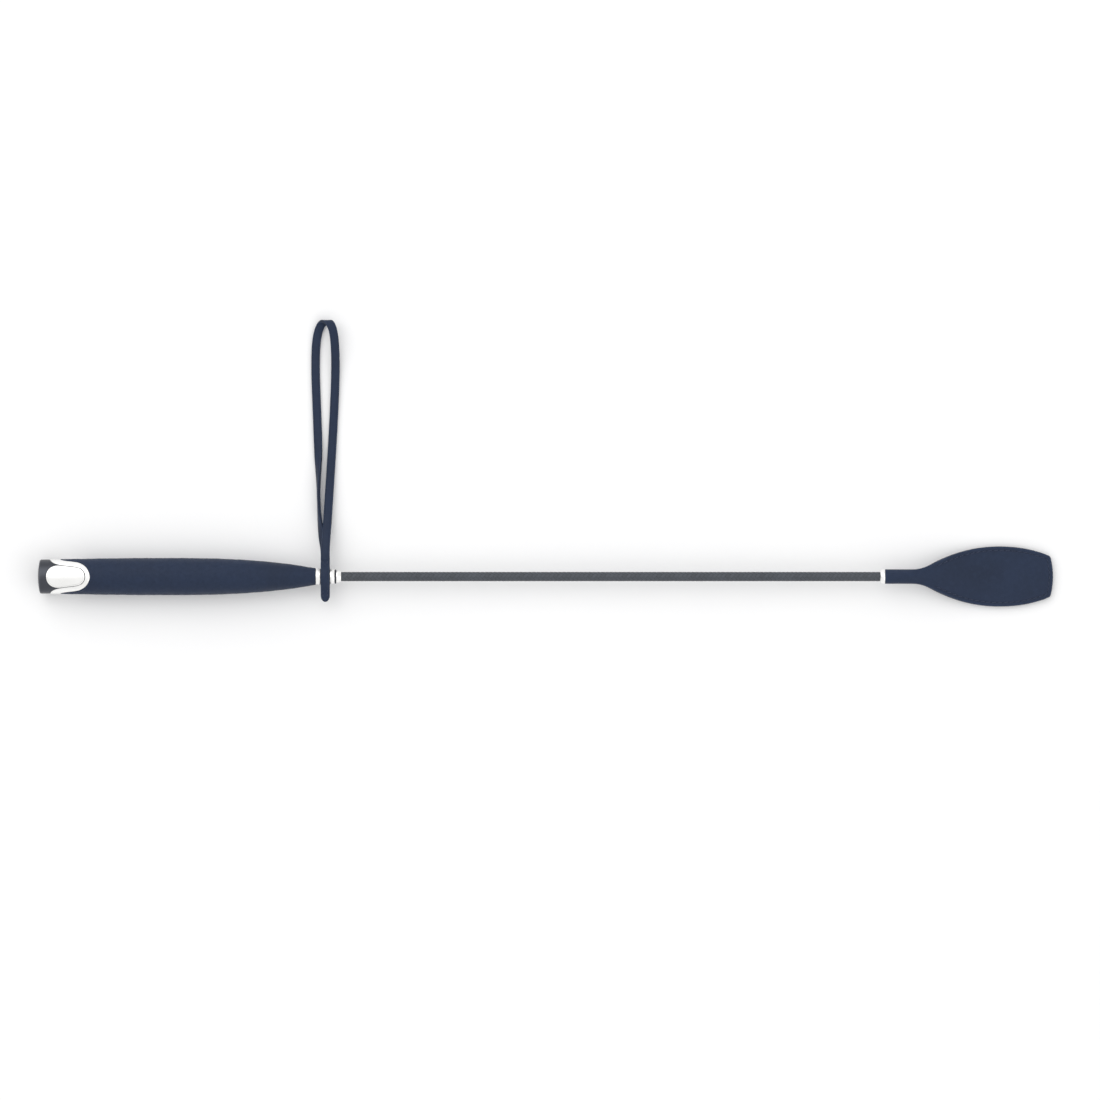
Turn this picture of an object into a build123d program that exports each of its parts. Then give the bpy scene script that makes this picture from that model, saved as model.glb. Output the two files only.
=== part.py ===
from build123d import *
import os
from math import sin, cos, tan, atan, asin, radians, degrees, hypot, pi

os.makedirs("parts", exist_ok=True)

# Riding crop, 65 cm class.  +X runs from the butt to the flap, +Z is up, the
# crop lies on z = 0 on the widest part of its grip and on the flat of its flap.

# ---- driving dimensions (mm) -------------------------------------------------
LENGTH = 650.3            # butt to flap tip
X_BUTT = -LENGTH / 2
X_TIP = LENGTH / 2
ZA = 11.93                # height of the crop's axis = largest grip radius

ROD_R = 2.0               # fibreglass rod
COVER_R = 2.875           # braided cover on the rod
BORE = 0.03               # radial play of pushed-on parts

SKIN = 1.3                # grip leather
CAP_R = 10.91             # end cap, outside
CORE_R0 = 9.85            # handle former under the cap

X_GRIP_END = -147.49      # leather ends here at the neck
X_CAP_SIDE = -317.6       # cap ends here at the sides
X_TRIM_SIDE = -310.9      # leather starts here at the sides

X_NECK = -141.43          # centre of the wrist strap on the neck
STRAP_W = 5.8
STRAP_T = 2.0
GROOVE_R = 3.7
EYE_R = 4.0               # inside of the leather eye round the groove
GROOVE_HALF = 3.1
X_WASHER = (-135.35, -134.48)
X_COLLAR = (-134.45, -131.25)

X_FERRULE = (213.73, 216.74)
SLEEVE_R = 4.64
X_COVER_END = 220.0
X_ROD_END = 231.8
X_HINGE = 241.0           # where the flap bends
LEAF = 2.0                # one leaf of the flap
FLAP_S0 = 226.0           # droop starts
FLAP_S1 = 286.0           # droop ends, flat from here
TUBE_R = 1.5              # plain round stand-in of the strap

# ---- grip profile: (x, radius) ----------------------------------------------
GRIP = [(-307.0, 11.28), (-298.1, 11.39), (-285.3, 11.62), (-275.0, 11.76),
        (-264.8, 11.85), (-249.4, 11.93), (-234.1, 11.90), (-223.8, 11.83),
        (-213.6, 11.65), (-203.4, 11.28), (-193.1, 10.73), (-182.9, 10.00),
        (-172.6, 9.04), (-162.4, 7.78), (-152.2, 6.18), (X_GRIP_END, 5.40)]
# handle former: (x, radius)
CORE = [(-321.4, CORE_R0), (-309.0, CORE_R0), (-300.0, 9.95), (-291.0, 10.20),
        (-275.0, 10.44), (-249.4, 10.60), (-223.8, 10.50), (-203.4, 9.95),
        (-182.9, 8.68), (-162.4, 6.45), (-152.2, 4.86), (-148.2, 4.20)]

FLAP = [(234.4, 4.66), (239.5, 5.25), (242.1, 6.01), (247.2, 8.35), (252.3, 10.87),
        (260.0, 13.95), (267.7, 16.36), (275.4, 18.07), (283.0, 18.99),
        (290.7, 19.32), (298.4, 19.00), (306.1, 18.14), (313.8, 16.41),
        (318.9, 14.86), (321.4, 13.86)]
FLAP_END = [(321.4, 13.86), (322.75, 12.85), (323.55, 11.3), (324.35, 7.6), (X_TIP, 0.0)]
INSERT = [(254.0, 3.5), (262.0, 9.3), (272.0, 13.2), (284.0, 15.2), (296.0, 15.0),
          (307.0, 13.1), (314.5, 10.6), (317.5, 4.0)]

axis = Axis((0, 0, ZA), (1, 0, 0))


def p3(x, r):
    return (x, 0, ZA + r)


def lathe(edges):
    face = Face(Wire(edges))
    body = revolve(face, axis=axis, revolution_arc=360)
    return solid_of(body)


def solid_of(shape):
    solids = shape.solids()
    if len(solids) == 1:
        s = solids[0]
        if s.volume < 0:
            raise ValueError("inside out")
        return s
    return Compound(children=list(solids))


def ring(x0, x1, r0, r1, r1b=None):
    """tube between two x stations; r1b is a different outer radius at x1"""
    r1b = r1 if r1b is None else r1b
    return lathe(Polyline(p3(x0, r0), p3(x0, r1), p3(x1, r1b), p3(x1, r0), close=True).edges())


def rod(x0, x1, r):
    return solid_of(extrude(Plane(origin=(x0, 0, ZA), x_dir=(0, 1, 0), z_dir=(1, 0, 0)) * Circle(r), amount=x1 - x0))


def prism(edges, z0=-5, z1=40):
    face = Face(Wire(edges))
    if face.normal_at().Z < 0:
        face = -face
    return extrude(Pos(0, 0, z0) * face, amount=z1 - z0, dir=(0, 0, 1))


def mirror_y(points):
    return [(x, -y) for x, y in reversed(points)]


def write(name, shape):
    shape.label = name
    export_step(shape, f"parts/{name}.step")
    print(f"{name:18s} solids {len(shape.solids())}  volume {shape.volume:10.2f}  valid {shape.is_valid}")


# ---- rod, cover, former ------------------------------------------------------
core_rod = rod(-320.0, X_ROD_END, ROD_R)
shaft_cover = ring(-150.0, X_COVER_END, ROD_R + 0.01, COVER_R)

core_top = Spline([p3(x, r) for x, r in CORE])
handle_core = lathe([core_top.edges()[0]] + Polyline(
    p3(*CORE[-1]), p3(CORE[-1][0], COVER_R + BORE), p3(-150.2, COVER_R + BORE), p3(-150.2, ROD_R + BORE),
    p3(-315.9, ROD_R + BORE), p3(-315.9, 3.65), p3(CORE[0][0], 3.65), p3(*CORE[0])).edges())


# ---- scalloped skirt of the cap: vertical prisms cut the skin -----------------
def tongue(e):
    side = [(X_CAP_SIDE - 0.15 + e, 12.6), (-317.1 + e, 10.5 + e), (-315.9 + e, 9.45 + e), (-314.6 + e, 8.72 + e),
            (-312.9 + e, 8.05 + e), (-310.5, 7.55 + e), (-305.0, 6.80 + e), (-300.0, 6.12 + e),
            (-297.0 + e, 5.05 + e), (-295.1 + e, 2.95 + e), (-294.4 + e, 0.0)]
    top = Spline([(x, y, 0) for x, y in side + mirror_y(side)[1:]])
    x0 = side[0][0]
    rest = Polyline((x0, -12.6, 0), (x0, -20, 0), (-335, -20, 0), (-335, 20, 0), (x0, 20, 0), (x0, 12.6, 0))
    return prism([top.edges()[0]] + rest.edges())


def notch(e):
    side = [(X_TRIM_SIDE + e, 12.6), (-310.2 + e, 10.85 + e), (-307.0, 10.37 + e), (-302.0, 9.85 + e),
            (-298.1 + e, 9.05 + e), (-295.5 + e, 7.68 + e), (-293.0 + e, 5.25 + e), (-291.7 + e, 2.78 + e),
            (-291.2 + e, 0.0)]
    top = Spline([(x, y, 0) for x, y in side + mirror_y(side)[1:]])
    x0 = side[0][0]
    rest = Polyline((x0, -12.6, 0), (x0, -20, 0), (-335, -20, 0), (-335, 20, 0), (x0, 20, 0), (x0, 12.6, 0))
    return prism([top.edges()[0]] + rest.edges())


inner = [(x, r + 0.05) for x, r in CORE]
inner_sp = Spline([p3(x, r) for x, r in inner]).edges()[0]

# metal blank: domed end, skirt that follows the former
dome = ThreePointArc(p3(X_BUTT, 0), p3(X_BUTT + 0.28, 5.2), p3(X_BUTT + 1.15, 10.35))
edge_arc = ThreePointArc(p3(X_BUTT + 1.15, 10.35), p3(X_BUTT + 1.42, 10.78), p3(X_BUTT + 1.85, CAP_R))
cap_blank = lathe(dome.edges() + edge_arc.edges() + Polyline(
    p3(X_BUTT + 1.85, CAP_R), p3(-319.6, CAP_R), p3(-311.0, 10.95), p3(-300.0, 11.12), p3(-290.0, 11.28), p3(-290.0, 9.5),
    p3(-321.5, 9.5), p3(-321.5, 3.6), p3(-316.0, 3.6), p3(-316.0, ROD_R + BORE), p3(-320.1, ROD_R + BORE),
    p3(-320.1, 0), p3(X_BUTT, 0)).edges())
inner_core = lathe([inner_sp] + Polyline(p3(*inner[-1]), p3(inner[-1][0], 0), p3(-321.5, 0), p3(-321.5, inner[0][1]),
                                         p3(*inner[0])).edges())
former_room = inner_core - rod(-321.5, -300.0, 3.6)
pin_spots = [(-309.2, 0.0), (-300.6, 0.0)]
end_cap = (cap_blank - former_room) & tongue(0)
for x, y in pin_spots:
    end_cap = end_cap - Pos(x, y, ZA + 10.0) * Cylinder(0.63, 3.0, align=(Align.CENTER, Align.CENTER, Align.MIN))
end_cap = solid_of(end_cap)

trim_blank = ring(-319.0, -290.4, 9.0, 11.05, 11.42) - inner_core
cap_trim = solid_of((trim_blank - tongue(0.05)) & notch(0))


# the blank plate set on the front tongue
def badge_outline(e):
    side = [(-319.2 - e, 0.0), (-318.4 - e, 3.1), (-316.0, 6.0 + e), (-312.0, 7.15 + e), (-305.5, 6.45 + e),
            (-300.2, 5.75 + e), (-297.3 + e, 4.6), (-295.6 + e, 2.6), (-295.0 + e, 0.0)]
    pts = side + [(x, -y) for x, y in reversed(side)][1:-1]
    return Spline([(x, y, 0) for x, y in pts], periodic=True).edges()


cap_badge = solid_of((ring(-321.0, -293.0, 10.0, 11.34, 11.52) - cap_blank) & prism(badge_outline(0), z0=ZA, z1=40))
badge_pins = Compound(children=[Pos(x, y, ZA + 10.05) * Cylinder(0.6, 0.86, align=(Align.CENTER, Align.CENTER, Align.MIN))
                                for x, y in pin_spots])

# ---- grip leather and its seam ------------------------------------------------
grip_sp = Spline([p3(x, r) for x, r in GRIP]).edges()[0]
roll = ThreePointArc(p3(-311.2, 10.7), p3(-309.9, 11.1), p3(-307.0, 11.28))
skin = lathe([roll.edges()[0], grip_sp] + Polyline(p3(*GRIP[-1]), p3(X_GRIP_END, 3.0), p3(-311.2, 3.0),
                                                    p3(-311.2, 10.7)).edges())
neck_plug = ring(-149.0, X_GRIP_END + 1, 0.0, 4.25)
grip_cover = solid_of((skin - inner_core - neck_plug) - notch(0.05))


def grip_radius(x):
    for (xa, ra), (xb, rb) in zip(GRIP, GRIP[1:]):
        if xa <= x <= xb:
            return ra + (rb - ra) * (x - xa) / (xb - xa)
    return GRIP[-1][1]


def stitch_box(x, r, angle, size):
    """a small bar in a skin of radius r, at an angle from the top of the crop"""
    bar = Pos(x, 0, r) * Box(*size)
    return Pos(0, 0, ZA) * (Rot(-angle, 0, 0) * bar)


SEAM_DEG = -128           # seam of the grip, along the under side towards the front
stitches = []
x = -286.0
while x < -152.0:
    stitches.append(stitch_box(x, grip_radius(x) - 0.62, SEAM_DEG, (1.0, 2.2, 0.8)))
    x += 3.6
grip_stitches = Compound(children=stitches)

# ---- neck ---------------------------------------------------------------------
neck_ferrule = lathe(Polyline(
    p3(X_GRIP_END + 0.03, COVER_R + BORE), p3(X_GRIP_END + 0.03, 4.9), p3(X_GRIP_END + 0.6, 5.15),
    p3(X_NECK - GROOVE_HALF - 0.5, 5.15), p3(X_NECK - GROOVE_HALF, 4.9), p3(X_NECK - GROOVE_HALF, GROOVE_R),
    p3(X_NECK + GROOVE_HALF, GROOVE_R), p3(X_NECK + GROOVE_HALF, 4.5), p3(X_NECK + GROOVE_HALF + 0.5, 4.75),
    p3(X_WASHER[0] - 0.5, 4.6), p3(X_WASHER[0] - 0.02, 4.35), p3(X_WASHER[0] - 0.02, COVER_R + BORE),
    close=True).edges())
neck_washer = ring(X_WASHER[0], X_WASHER[1], COVER_R + BORE, 4.54)
shaft_collar = lathe(Polyline(
    p3(X_COLLAR[0], COVER_R + BORE), p3(X_COLLAR[0], 4.1), p3(X_COLLAR[0] + 0.9, 4.1),
    p3(X_COLLAR[1], 3.3), p3(X_COLLAR[1], COVER_R + BORE), close=True).edges())

# ---- wrist loop ends: two plies round the groove ---------------------------------
Y_TAIL = -16.22
Y_LOOP = 10.4


def ply(sign):
    yz = Plane(origin=(X_NECK - STRAP_W / 2, 0, ZA), x_dir=(0, 1, 0), z_dir=(1, 0, 0))
    gap = 0.02
    round_part = Circle(EYE_R + STRAP_T)
    slabs = Pos((Y_TAIL - 2) / 2 - 1, STRAP_T / 2) * Rectangle(-(Y_TAIL - 2) - 2, STRAP_T)
    slabs += Pos((Y_LOOP + 2) / 2, STRAP_T / 2) * Rectangle(Y_LOOP - 2, STRAP_T)
    slabs += Pos(Y_LOOP - 1.9, 1.55) * Rectangle(3.8, 3.1)
    sk = (round_part + slabs) - Circle(EYE_R)
    sk = sk & (Pos(0, 10 + gap) * Rectangle(60, 20))
    solid = extrude(yz * sk, amount=STRAP_W)
    if sign < 0:
        solid = mirror(solid, about=Plane(origin=(0, 0, ZA), z_dir=(0, 0, 1)))
    tail = Pos(X_NECK, 0, 0) * (Pos(0, 10) * Rectangle(STRAP_W, 44.24) + Pos(0, Y_TAIL + 4.1) * Ellipse(STRAP_W / 2, 4.1))
    return solid_of(solid & extrude(tail, amount=40))


loop_end_front = ply(1)
loop_end_back = ply(-1)
loop_stitches = Compound(children=[
    Pos(X_NECK + dx, y, ZA - 1.9) * Cylinder(0.35, 3.8, align=(Align.CENTER, Align.CENTER, Align.MIN))
    for dx, y in [(-1.5, -8.2), (1.5, -8.2), (-1.5, -10.9), (1.5, -10.9), (-1.2, -13.4), (1.2, -13.4),
                  (-1.5, 7.2), (1.5, 7.2)]])

# strap: straight runs joined by tangent arcs, from the front ply up the right
# strand, over the fold at the top and down the left strand to the back ply
ROUTE = [(X_NECK, Y_LOOP, 13.48), (X_NECK, 16.8, 13.48), (-140.9, 25.2, 9.9), (-140.3, 35.2, 5.6),
         (-139.4, 50.0, 4.0), (-138.1, 71.0, 2.1), (-136.3, 102.0, 1.6), (-135.2, 131.0, 2.7),
         (-135.7, 147.5, 7.2), (-137.4, 157.0, 10.7), (-139.6, 162.5, 8.9), (-142.4, 162.8, 3.2),
         (-145.1, 157.4, 1.55), (-147.4, 147.0, 1.75), (-148.1, 130.5, 1.5), (-147.0, 102.0, 1.7),
         (-146.3, 84.0, 2.0), (-146.1, 68.0, 3.0), (-146.05, 50.0, 3.1), (-145.4, 36.5, 3.5),
         (-143.8, 26.5, 6.0), (X_NECK, 17.6, 10.38), (X_NECK, Y_LOOP, 10.38)]
pts = [Vector(*p) for p in ROUTE]
radii = []
for a, b, c in zip(pts, pts[1:], pts[2:]):
    turn = (b - a).get_angle(c - b)
    radii.append(0.45 * min((b - a).length, (c - b).length) / tan(radians(turn / 2)))
print("strap radii", [round(r, 1) for r in radii])
print("strap runs", [round((b - a).length, 1) for a, b in zip(pts, pts[1:])])
path = FilletPolyline(*pts, radius=radii)
start = Plane(origin=pts[0], z_dir=pts[1] - pts[0])
tube = sweep(start * Circle(TUBE_R), path=path)
loop_strap = solid_of(tube)
print("strap length", round(path.length, 2), "volume", round(loop_strap.volume, 2),
      "expected", round(pi * TUBE_R ** 2 * path.length, 2), "box", loop_strap.bounding_box())

# ---- shaft tip -------------------------------------------------------------------
tip_ferrule = lathe(Polyline(
    p3(X_FERRULE[0], COVER_R + BORE), p3(X_FERRULE[0], 3.9), p3(X_FERRULE[0] + 0.7, 4.5), p3(X_FERRULE[1] - 0.3, 4.6),
    p3(X_FERRULE[1] - 0.02, 4.4), p3(X_FERRULE[1] - 0.02, 3.35), p3(X_COVER_END, 3.35), p3(X_COVER_END, COVER_R + BORE),
    close=True).edges())
tip_whipping = ring(X_COVER_END + 0.1, 226.4, ROD_R + 0.02, 2.6)
rod_tip_cap = solid_of(rod(226.5, 232.5, 2.6) - rod(226.5, X_ROD_END + 0.1, ROD_R + 0.02))

# ---- flap geometry in the XZ plane --------------------------------------------
DROP = ZA - LEAF
SPAN = FLAP_S1 - FLAP_S0
PHI = 2 * atan(DROP / SPAN)
R = SPAN / 2 / sin(PHI)
TH = asin((X_HINGE - FLAP_S0) / R)


def on_first(t, off):
    return (FLAP_S0 + (R + off) * sin(t), 0, ZA - R + (R + off) * cos(t))


def on_second(t, off):
    return (FLAP_S1 - (R - off) * sin(t), 0, LEAF + R - (R - off) * cos(t))


def mid_z(x):
    if x <= FLAP_S0:
        return ZA
    if x < (FLAP_S0 + FLAP_S1) / 2:
        return ZA - R + R * cos(asin((x - FLAP_S0) / R))
    if x < FLAP_S1:
        return LEAF + R - R * cos(asin((FLAP_S1 - x) / R))
    return LEAF


HINGE = on_first(TH, 0)
print("hinge", [round(v, 3) for v in HINGE], "bend radius", round(R, 2))


def strip(off_a, off_b, t0, x_end, knuckle=0):
    """band between two offsets of the flap's mid surface, from angle t0 to x_end"""
    edges = []
    edges += ThreePointArc(on_first(t0, off_a), on_first((t0 + PHI) / 2, off_a), on_first(PHI, off_a)).edges()
    edges += ThreePointArc(on_second(PHI, off_a), on_second(PHI / 2, off_a), on_second(0, off_a)).edges()
    edges += Polyline(on_second(0, off_a), (x_end, 0, LEAF + off_a), (x_end, 0, LEAF + off_b), on_second(0, off_b)).edges()
    edges += ThreePointArc(on_second(0, off_b), on_second(PHI / 2, off_b), on_second(PHI, off_b)).edges()
    edges += ThreePointArc(on_first(PHI, off_b), on_first((t0 + PHI) / 2, off_b), on_first(t0, off_b)).edges()
    if knuckle:
        hx, _, hz = on_first(t0, 0)
        s = 1 if off_b > 0 else -1
        n = (sin(t0) * s, cos(t0) * s)
        b = (-cos(t0), sin(t0))
        k = LEAF
        m = ((n[0] + b[0]) / 2 ** 0.5, (n[1] + b[1]) / 2 ** 0.5)
        edges += ThreePointArc(on_first(t0, off_b), (hx + m[0] * k, 0, hz + m[1] * k), (hx + b[0] * k, 0, hz + b[1] * k)).edges()
        edges += Line((hx + b[0] * k, 0, hz + b[1] * k), on_first(t0, off_a)).edges()
    else:
        edges += Line(on_first(t0, off_b), on_first(t0, off_a)).edges()
    face = Face(Wire(edges))
    return extrude(Pos(0, -30, 0) * face, amount=60, dir=(0, 1, 0))


side = Spline([(x, y, 0) for x, y in FLAP]).edges()
end = Spline([(x, y, 0) for x, y in FLAP_END + mirror_y(FLAP_END)[1:]]).edges()
side2 = Spline([(x, y, 0) for x, y in mirror_y(FLAP)]).edges()
close = Line((FLAP[0][0], -FLAP[0][1], 0), (FLAP[0][0], FLAP[0][1], 0)).edges()
flap_prism = prism(side + end + side2 + close)
ins_pts = INSERT + mirror_y(INSERT)
insert_prism = prism(Spline([(x, y, 0) for x, y in ins_pts], periodic=True).edges())
insert_small = prism(Spline([(285.9 + (x - 285.9) * 0.994, y * 0.99, 0) for x, y in ins_pts], periodic=True).edges())

GAP = 0.01
pocket = strip(0.0, 0.82, TH + 0.06, 322.0) & insert_prism
flap_upper = solid_of((strip(GAP, LEAF, TH, X_TIP + 3, 1) & flap_prism) - pocket)
flap_lower = solid_of(strip(-GAP, -LEAF, TH, X_TIP + 3, 1) & flap_prism)
flap_insert = solid_of(strip(0.03, 0.78, TH + 0.06, 322.0) & insert_small)

# stitches: pins along the edge, 2.7 mm in
outline = [p for p in FLAP if p[0] > 246] + FLAP_END[1:]
full = [(a[0], a[1]) for a in outline] + [(x, -y) for x, y in reversed(outline[:-1])]
inset = []
for i in range(1, len(full) - 1):
    tx, ty = full[i + 1][0] - full[i - 1][0], full[i + 1][1] - full[i - 1][1]
    n = hypot(tx, ty)
    inset.append((full[i][0] + ty / n * 2.7, full[i][1] - tx / n * 2.7))
pins, carry = [], 0.0
PITCH = 5.0
for (ax, ay), (bx, by) in zip(inset, inset[1:]):
    seg = hypot(bx - ax, by - ay)
    while carry <= seg:
        f = carry / seg
        px_, py_ = ax + (bx - ax) * f, ay + (by - ay) * f
        pins.append(Pos(px_, py_, mid_z(px_) - 1.8) * Cylinder(0.35, 3.6, align=(Align.CENTER, Align.CENTER, Align.MIN)))
        carry += PITCH
    carry -= seg
flap_stitches = Compound(children=pins)

# ---- sleeve that holds the flap on the shaft --------------------------------------
X_SL, X_SE = 229.0, 238.55
yz = lambda x, z: Plane(origin=(x, 0, z), x_dir=(0, 1, 0), z_dir=(1, 0, 0))
taper = loft([yz(X_SL, ZA) * Circle(SLEEVE_R), yz(X_SE, mid_z(X_SE)) * Ellipse(5.1, 2.75)])
sleeve = rod(X_FERRULE[1], X_SL, SLEEVE_R) + taper
sleeve = sleeve - rod(X_FERRULE[1] - 1, X_COVER_END + 0.05, 3.4) - rod(X_COVER_END, 232.6, 2.65)
keeper_sleeve = solid_of(sleeve)
sleeve_stitches = Compound(children=[stitch_box(218.6 + 2.3 * i, SLEEVE_R - 0.62, -125, (1.3, 0.7, 0.9)) for i in range(5)])

PARTS = {
    "core_rod": core_rod, "shaft_cover": shaft_cover, "handle_core": handle_core,
    "grip_cover": grip_cover, "grip_stitches": grip_stitches,
    "end_cap": end_cap, "cap_trim": cap_trim, "cap_badge": cap_badge, "badge_pins": badge_pins,
    "neck_ferrule": neck_ferrule, "neck_washer": neck_washer, "shaft_collar": shaft_collar,
    "tip_ferrule": tip_ferrule, "tip_whipping": tip_whipping, "rod_tip_cap": rod_tip_cap,
    "keeper_sleeve": keeper_sleeve, "sleeve_stitches": sleeve_stitches,
    "loop_end_front": loop_end_front, "loop_end_back": loop_end_back, "loop_stitches": loop_stitches,
    "loop_strap": loop_strap,
    "flap_upper": flap_upper, "flap_lower": flap_lower, "flap_insert": flap_insert,
    "flap_stitches": flap_stitches,
}
for name, shape in PARTS.items():
    write(name, shape)
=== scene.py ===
import bpy
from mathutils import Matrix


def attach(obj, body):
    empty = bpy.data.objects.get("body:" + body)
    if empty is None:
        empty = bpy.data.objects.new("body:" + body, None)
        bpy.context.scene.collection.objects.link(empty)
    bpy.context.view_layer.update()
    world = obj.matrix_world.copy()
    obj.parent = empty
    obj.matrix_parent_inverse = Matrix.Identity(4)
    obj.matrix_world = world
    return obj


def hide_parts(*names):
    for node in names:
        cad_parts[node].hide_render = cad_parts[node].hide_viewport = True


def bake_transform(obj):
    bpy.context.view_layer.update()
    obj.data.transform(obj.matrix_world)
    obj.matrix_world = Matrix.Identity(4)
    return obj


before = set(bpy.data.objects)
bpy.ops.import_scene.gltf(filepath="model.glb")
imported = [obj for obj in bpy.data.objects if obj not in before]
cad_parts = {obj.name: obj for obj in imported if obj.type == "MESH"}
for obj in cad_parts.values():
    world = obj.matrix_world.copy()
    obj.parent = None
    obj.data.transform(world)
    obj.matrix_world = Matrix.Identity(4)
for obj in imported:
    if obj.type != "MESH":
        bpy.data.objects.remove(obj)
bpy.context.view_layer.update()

import bpy
import math
import numpy as np
from mathutils import Vector, geometry

MM = 0.001
ZA = 11.93               # height of the crop's axis, mm
S0 = 11.2                # radius at which the grip's skin is unrolled, mm
rng = np.random.default_rng(7)


# ------------------------------------------------------------------ mesh tools
def make(name, verts, faces, mat, body=None, replaces=(), slot=None, smooth=True, weld=None, attrs=None, uv=None):
    """mesh object from millimetre points; attrs are per-vertex floats"""
    me = bpy.data.meshes.new(name)
    v = np.asarray(verts, float) * MM
    me.from_pydata([tuple(p) for p in v], [], [tuple(int(i) for i in f) for f in faces])
    if attrs:
        for key, vals in attrs.items():
            a = me.attributes.new(key, "FLOAT", "POINT")
            a.data.foreach_set("value", np.asarray(vals, np.float32))
    if weld:
        import bmesh
        bm = bmesh.new()
        bm.from_mesh(me)
        bmesh.ops.remove_doubles(bm, verts=bm.verts, dist=weld * MM)
        bmesh.ops.dissolve_degenerate(bm, edges=bm.edges, dist=1e-7)
        bmesh.ops.recalc_face_normals(bm, faces=bm.faces)
        bm.to_mesh(me)
        bm.free()
    me.validate()
    if smooth:
        me.polygons.foreach_set("use_smooth", [len(q.vertices) <= 8 for q in me.polygons])
    me.update()
    ob = bpy.data.objects.new(name, me)
    bpy.context.scene.collection.objects.link(ob)
    me.materials.append(mat)
    if body:
        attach(ob, body)
    if replaces:
        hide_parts(*replaces)
    return ob


def catmull(pts, step):
    """smooth open curve through points, resampled about every step"""
    p = np.asarray(pts, float)
    ext = np.vstack([2 * p[0] - p[1], p, 2 * p[-1] - p[-2]])
    out = []
    for i in range(1, len(ext) - 2):
        p0, p1, p2, p3 = ext[i - 1], ext[i], ext[i + 1], ext[i + 2]
        d = [max(np.linalg.norm(b - a), 1e-9) ** 0.5 for a, b in ((p0, p1), (p1, p2), (p2, p3))]
        t0, t1 = 0.0, d[0]
        t2, t3 = t1 + d[1], t1 + d[1] + d[2]
        n = max(int(np.linalg.norm(p2 - p1) / step * 4), 4)
        for t in np.linspace(t1, t2, n, endpoint=False):
            a1 = (t1 - t) / (t1 - t0) * p0 + (t - t0) / (t1 - t0) * p1
            a2 = (t2 - t) / (t2 - t1) * p1 + (t - t1) / (t2 - t1) * p2
            a3 = (t3 - t) / (t3 - t2) * p2 + (t - t2) / (t3 - t2) * p3
            b1 = (t2 - t) / (t2 - t0) * a1 + (t - t0) / (t2 - t0) * a2
            b2 = (t3 - t) / (t3 - t1) * a2 + (t - t1) / (t3 - t1) * a3
            out.append((t2 - t) / (t2 - t1) * b1 + (t - t1) / (t2 - t1) * b2)
    out.append(p[-1])
    return resample(np.array(out), step)


def resample(p, step):
    d = np.r_[0, np.cumsum(np.linalg.norm(np.diff(p, axis=0), axis=1))]
    n = max(int(round(d[-1] / step)), 2)
    s = np.linspace(0, d[-1], n + 1)
    return np.stack([np.interp(s, d, p[:, k]) for k in range(p.shape[1])], axis=1)


def inside(poly, q):
    x, y = q[:, 0], q[:, 1]
    res = np.zeros(len(q), bool)
    a, b = poly, np.roll(poly, -1, axis=0)
    for (x1, y1), (x2, y2) in zip(a, b):
        if y1 == y2:
            continue
        cross = ((y1 > y) != (y2 > y)) & (x < (x2 - x1) * (y - y1) / (y2 - y1) + x1)
        res ^= cross
    return res


def seg_dist(a, b, q):
    """distance of points q to the nearest of segments a-b, and that segment's number"""
    best = np.full(len(q), 1e9)
    idx = np.zeros(len(q), int)
    d = b - a
    ll = np.maximum((d ** 2).sum(1), 1e-18)
    for k in range(0, len(q), 4000):
        w = q[k:k + 4000, None, :] - a[None]
        t = np.clip((w * d[None]).sum(2) / ll[None], 0, 1)
        m = np.linalg.norm(w - t[..., None] * d[None], axis=2)
        idx[k:k + 4000] = m.argmin(1)
        best[k:k + 4000] = m.min(1)
    return best, idx


def region(loop, spacing, rows, real):
    """triangulates the inside of a closed loop; rows are distances from the real edges at
    which points are set. Gives points, triangles, distance from the real edges."""
    loop = np.asarray(loop, float)
    real = np.asarray(real, bool)                    # segment i -> i+1 is an edge of the piece
    nxt = np.roll(loop, -1, axis=0)
    area = ((loop[:, 0] * nxt[:, 1] - nxt[:, 0] * loop[:, 1]).sum()) / 2
    sgn = 1 if area > 0 else -1
    tang = np.roll(loop, -1, axis=0) - np.roll(loop, 1, axis=0)
    tang /= np.linalg.norm(tang, axis=1)[:, None]
    nrm = np.stack([-tang[:, 1], tang[:, 0]], axis=1) * sgn
    both = real & np.roll(real, 1)
    ra, rb = loop[real], nxt[real]
    ext = [loop]
    for r in rows:
        q = loop[both] + nrm[both] * r
        keep = inside(loop, q)
        q = q[keep]
        d, _ = seg_dist(ra, rb, q)
        q = q[d > r * 0.97]
        if len(q):
            dd, _ = seg_dist(loop[~real], nxt[~real], q) if (~real).any() else (np.full(len(q), 1e9), 0)
            ext.append(q[dd > 0.15 * spacing])
    last = max(rows) if len(rows) else 0.0
    lo, hi = loop.min(0), loop.max(0)
    gx = np.arange(lo[0], hi[0], spacing)
    gy = np.arange(lo[1], hi[1], spacing * 0.866)
    g = np.array([(x + (spacing / 2 if j % 2 else 0), y) for j, y in enumerate(gy) for x in gx])
    g = g[inside(loop, g)]
    d, _ = seg_dist(ra, rb, g)
    g = g[d > last + 0.55 * spacing]
    if (~real).any() and len(g):
        d, _ = seg_dist(loop[~real], nxt[~real], g)
        g = g[d > 0.45 * spacing]
    ext.append(g)
    pts = np.vstack(ext)
    n = len(loop)
    res = geometry.delaunay_2d_cdt([Vector((p[0], p[1])) for p in pts], [(i, (i + 1) % n) for i in range(n)], [], 1, 1e-6)
    out = np.array([[v.x, v.y] for v in res[0]])
    tris = [tuple(f) for f in res[2]]
    d, _ = seg_dist(ra, rb, out)
    return out, tris, d


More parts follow.
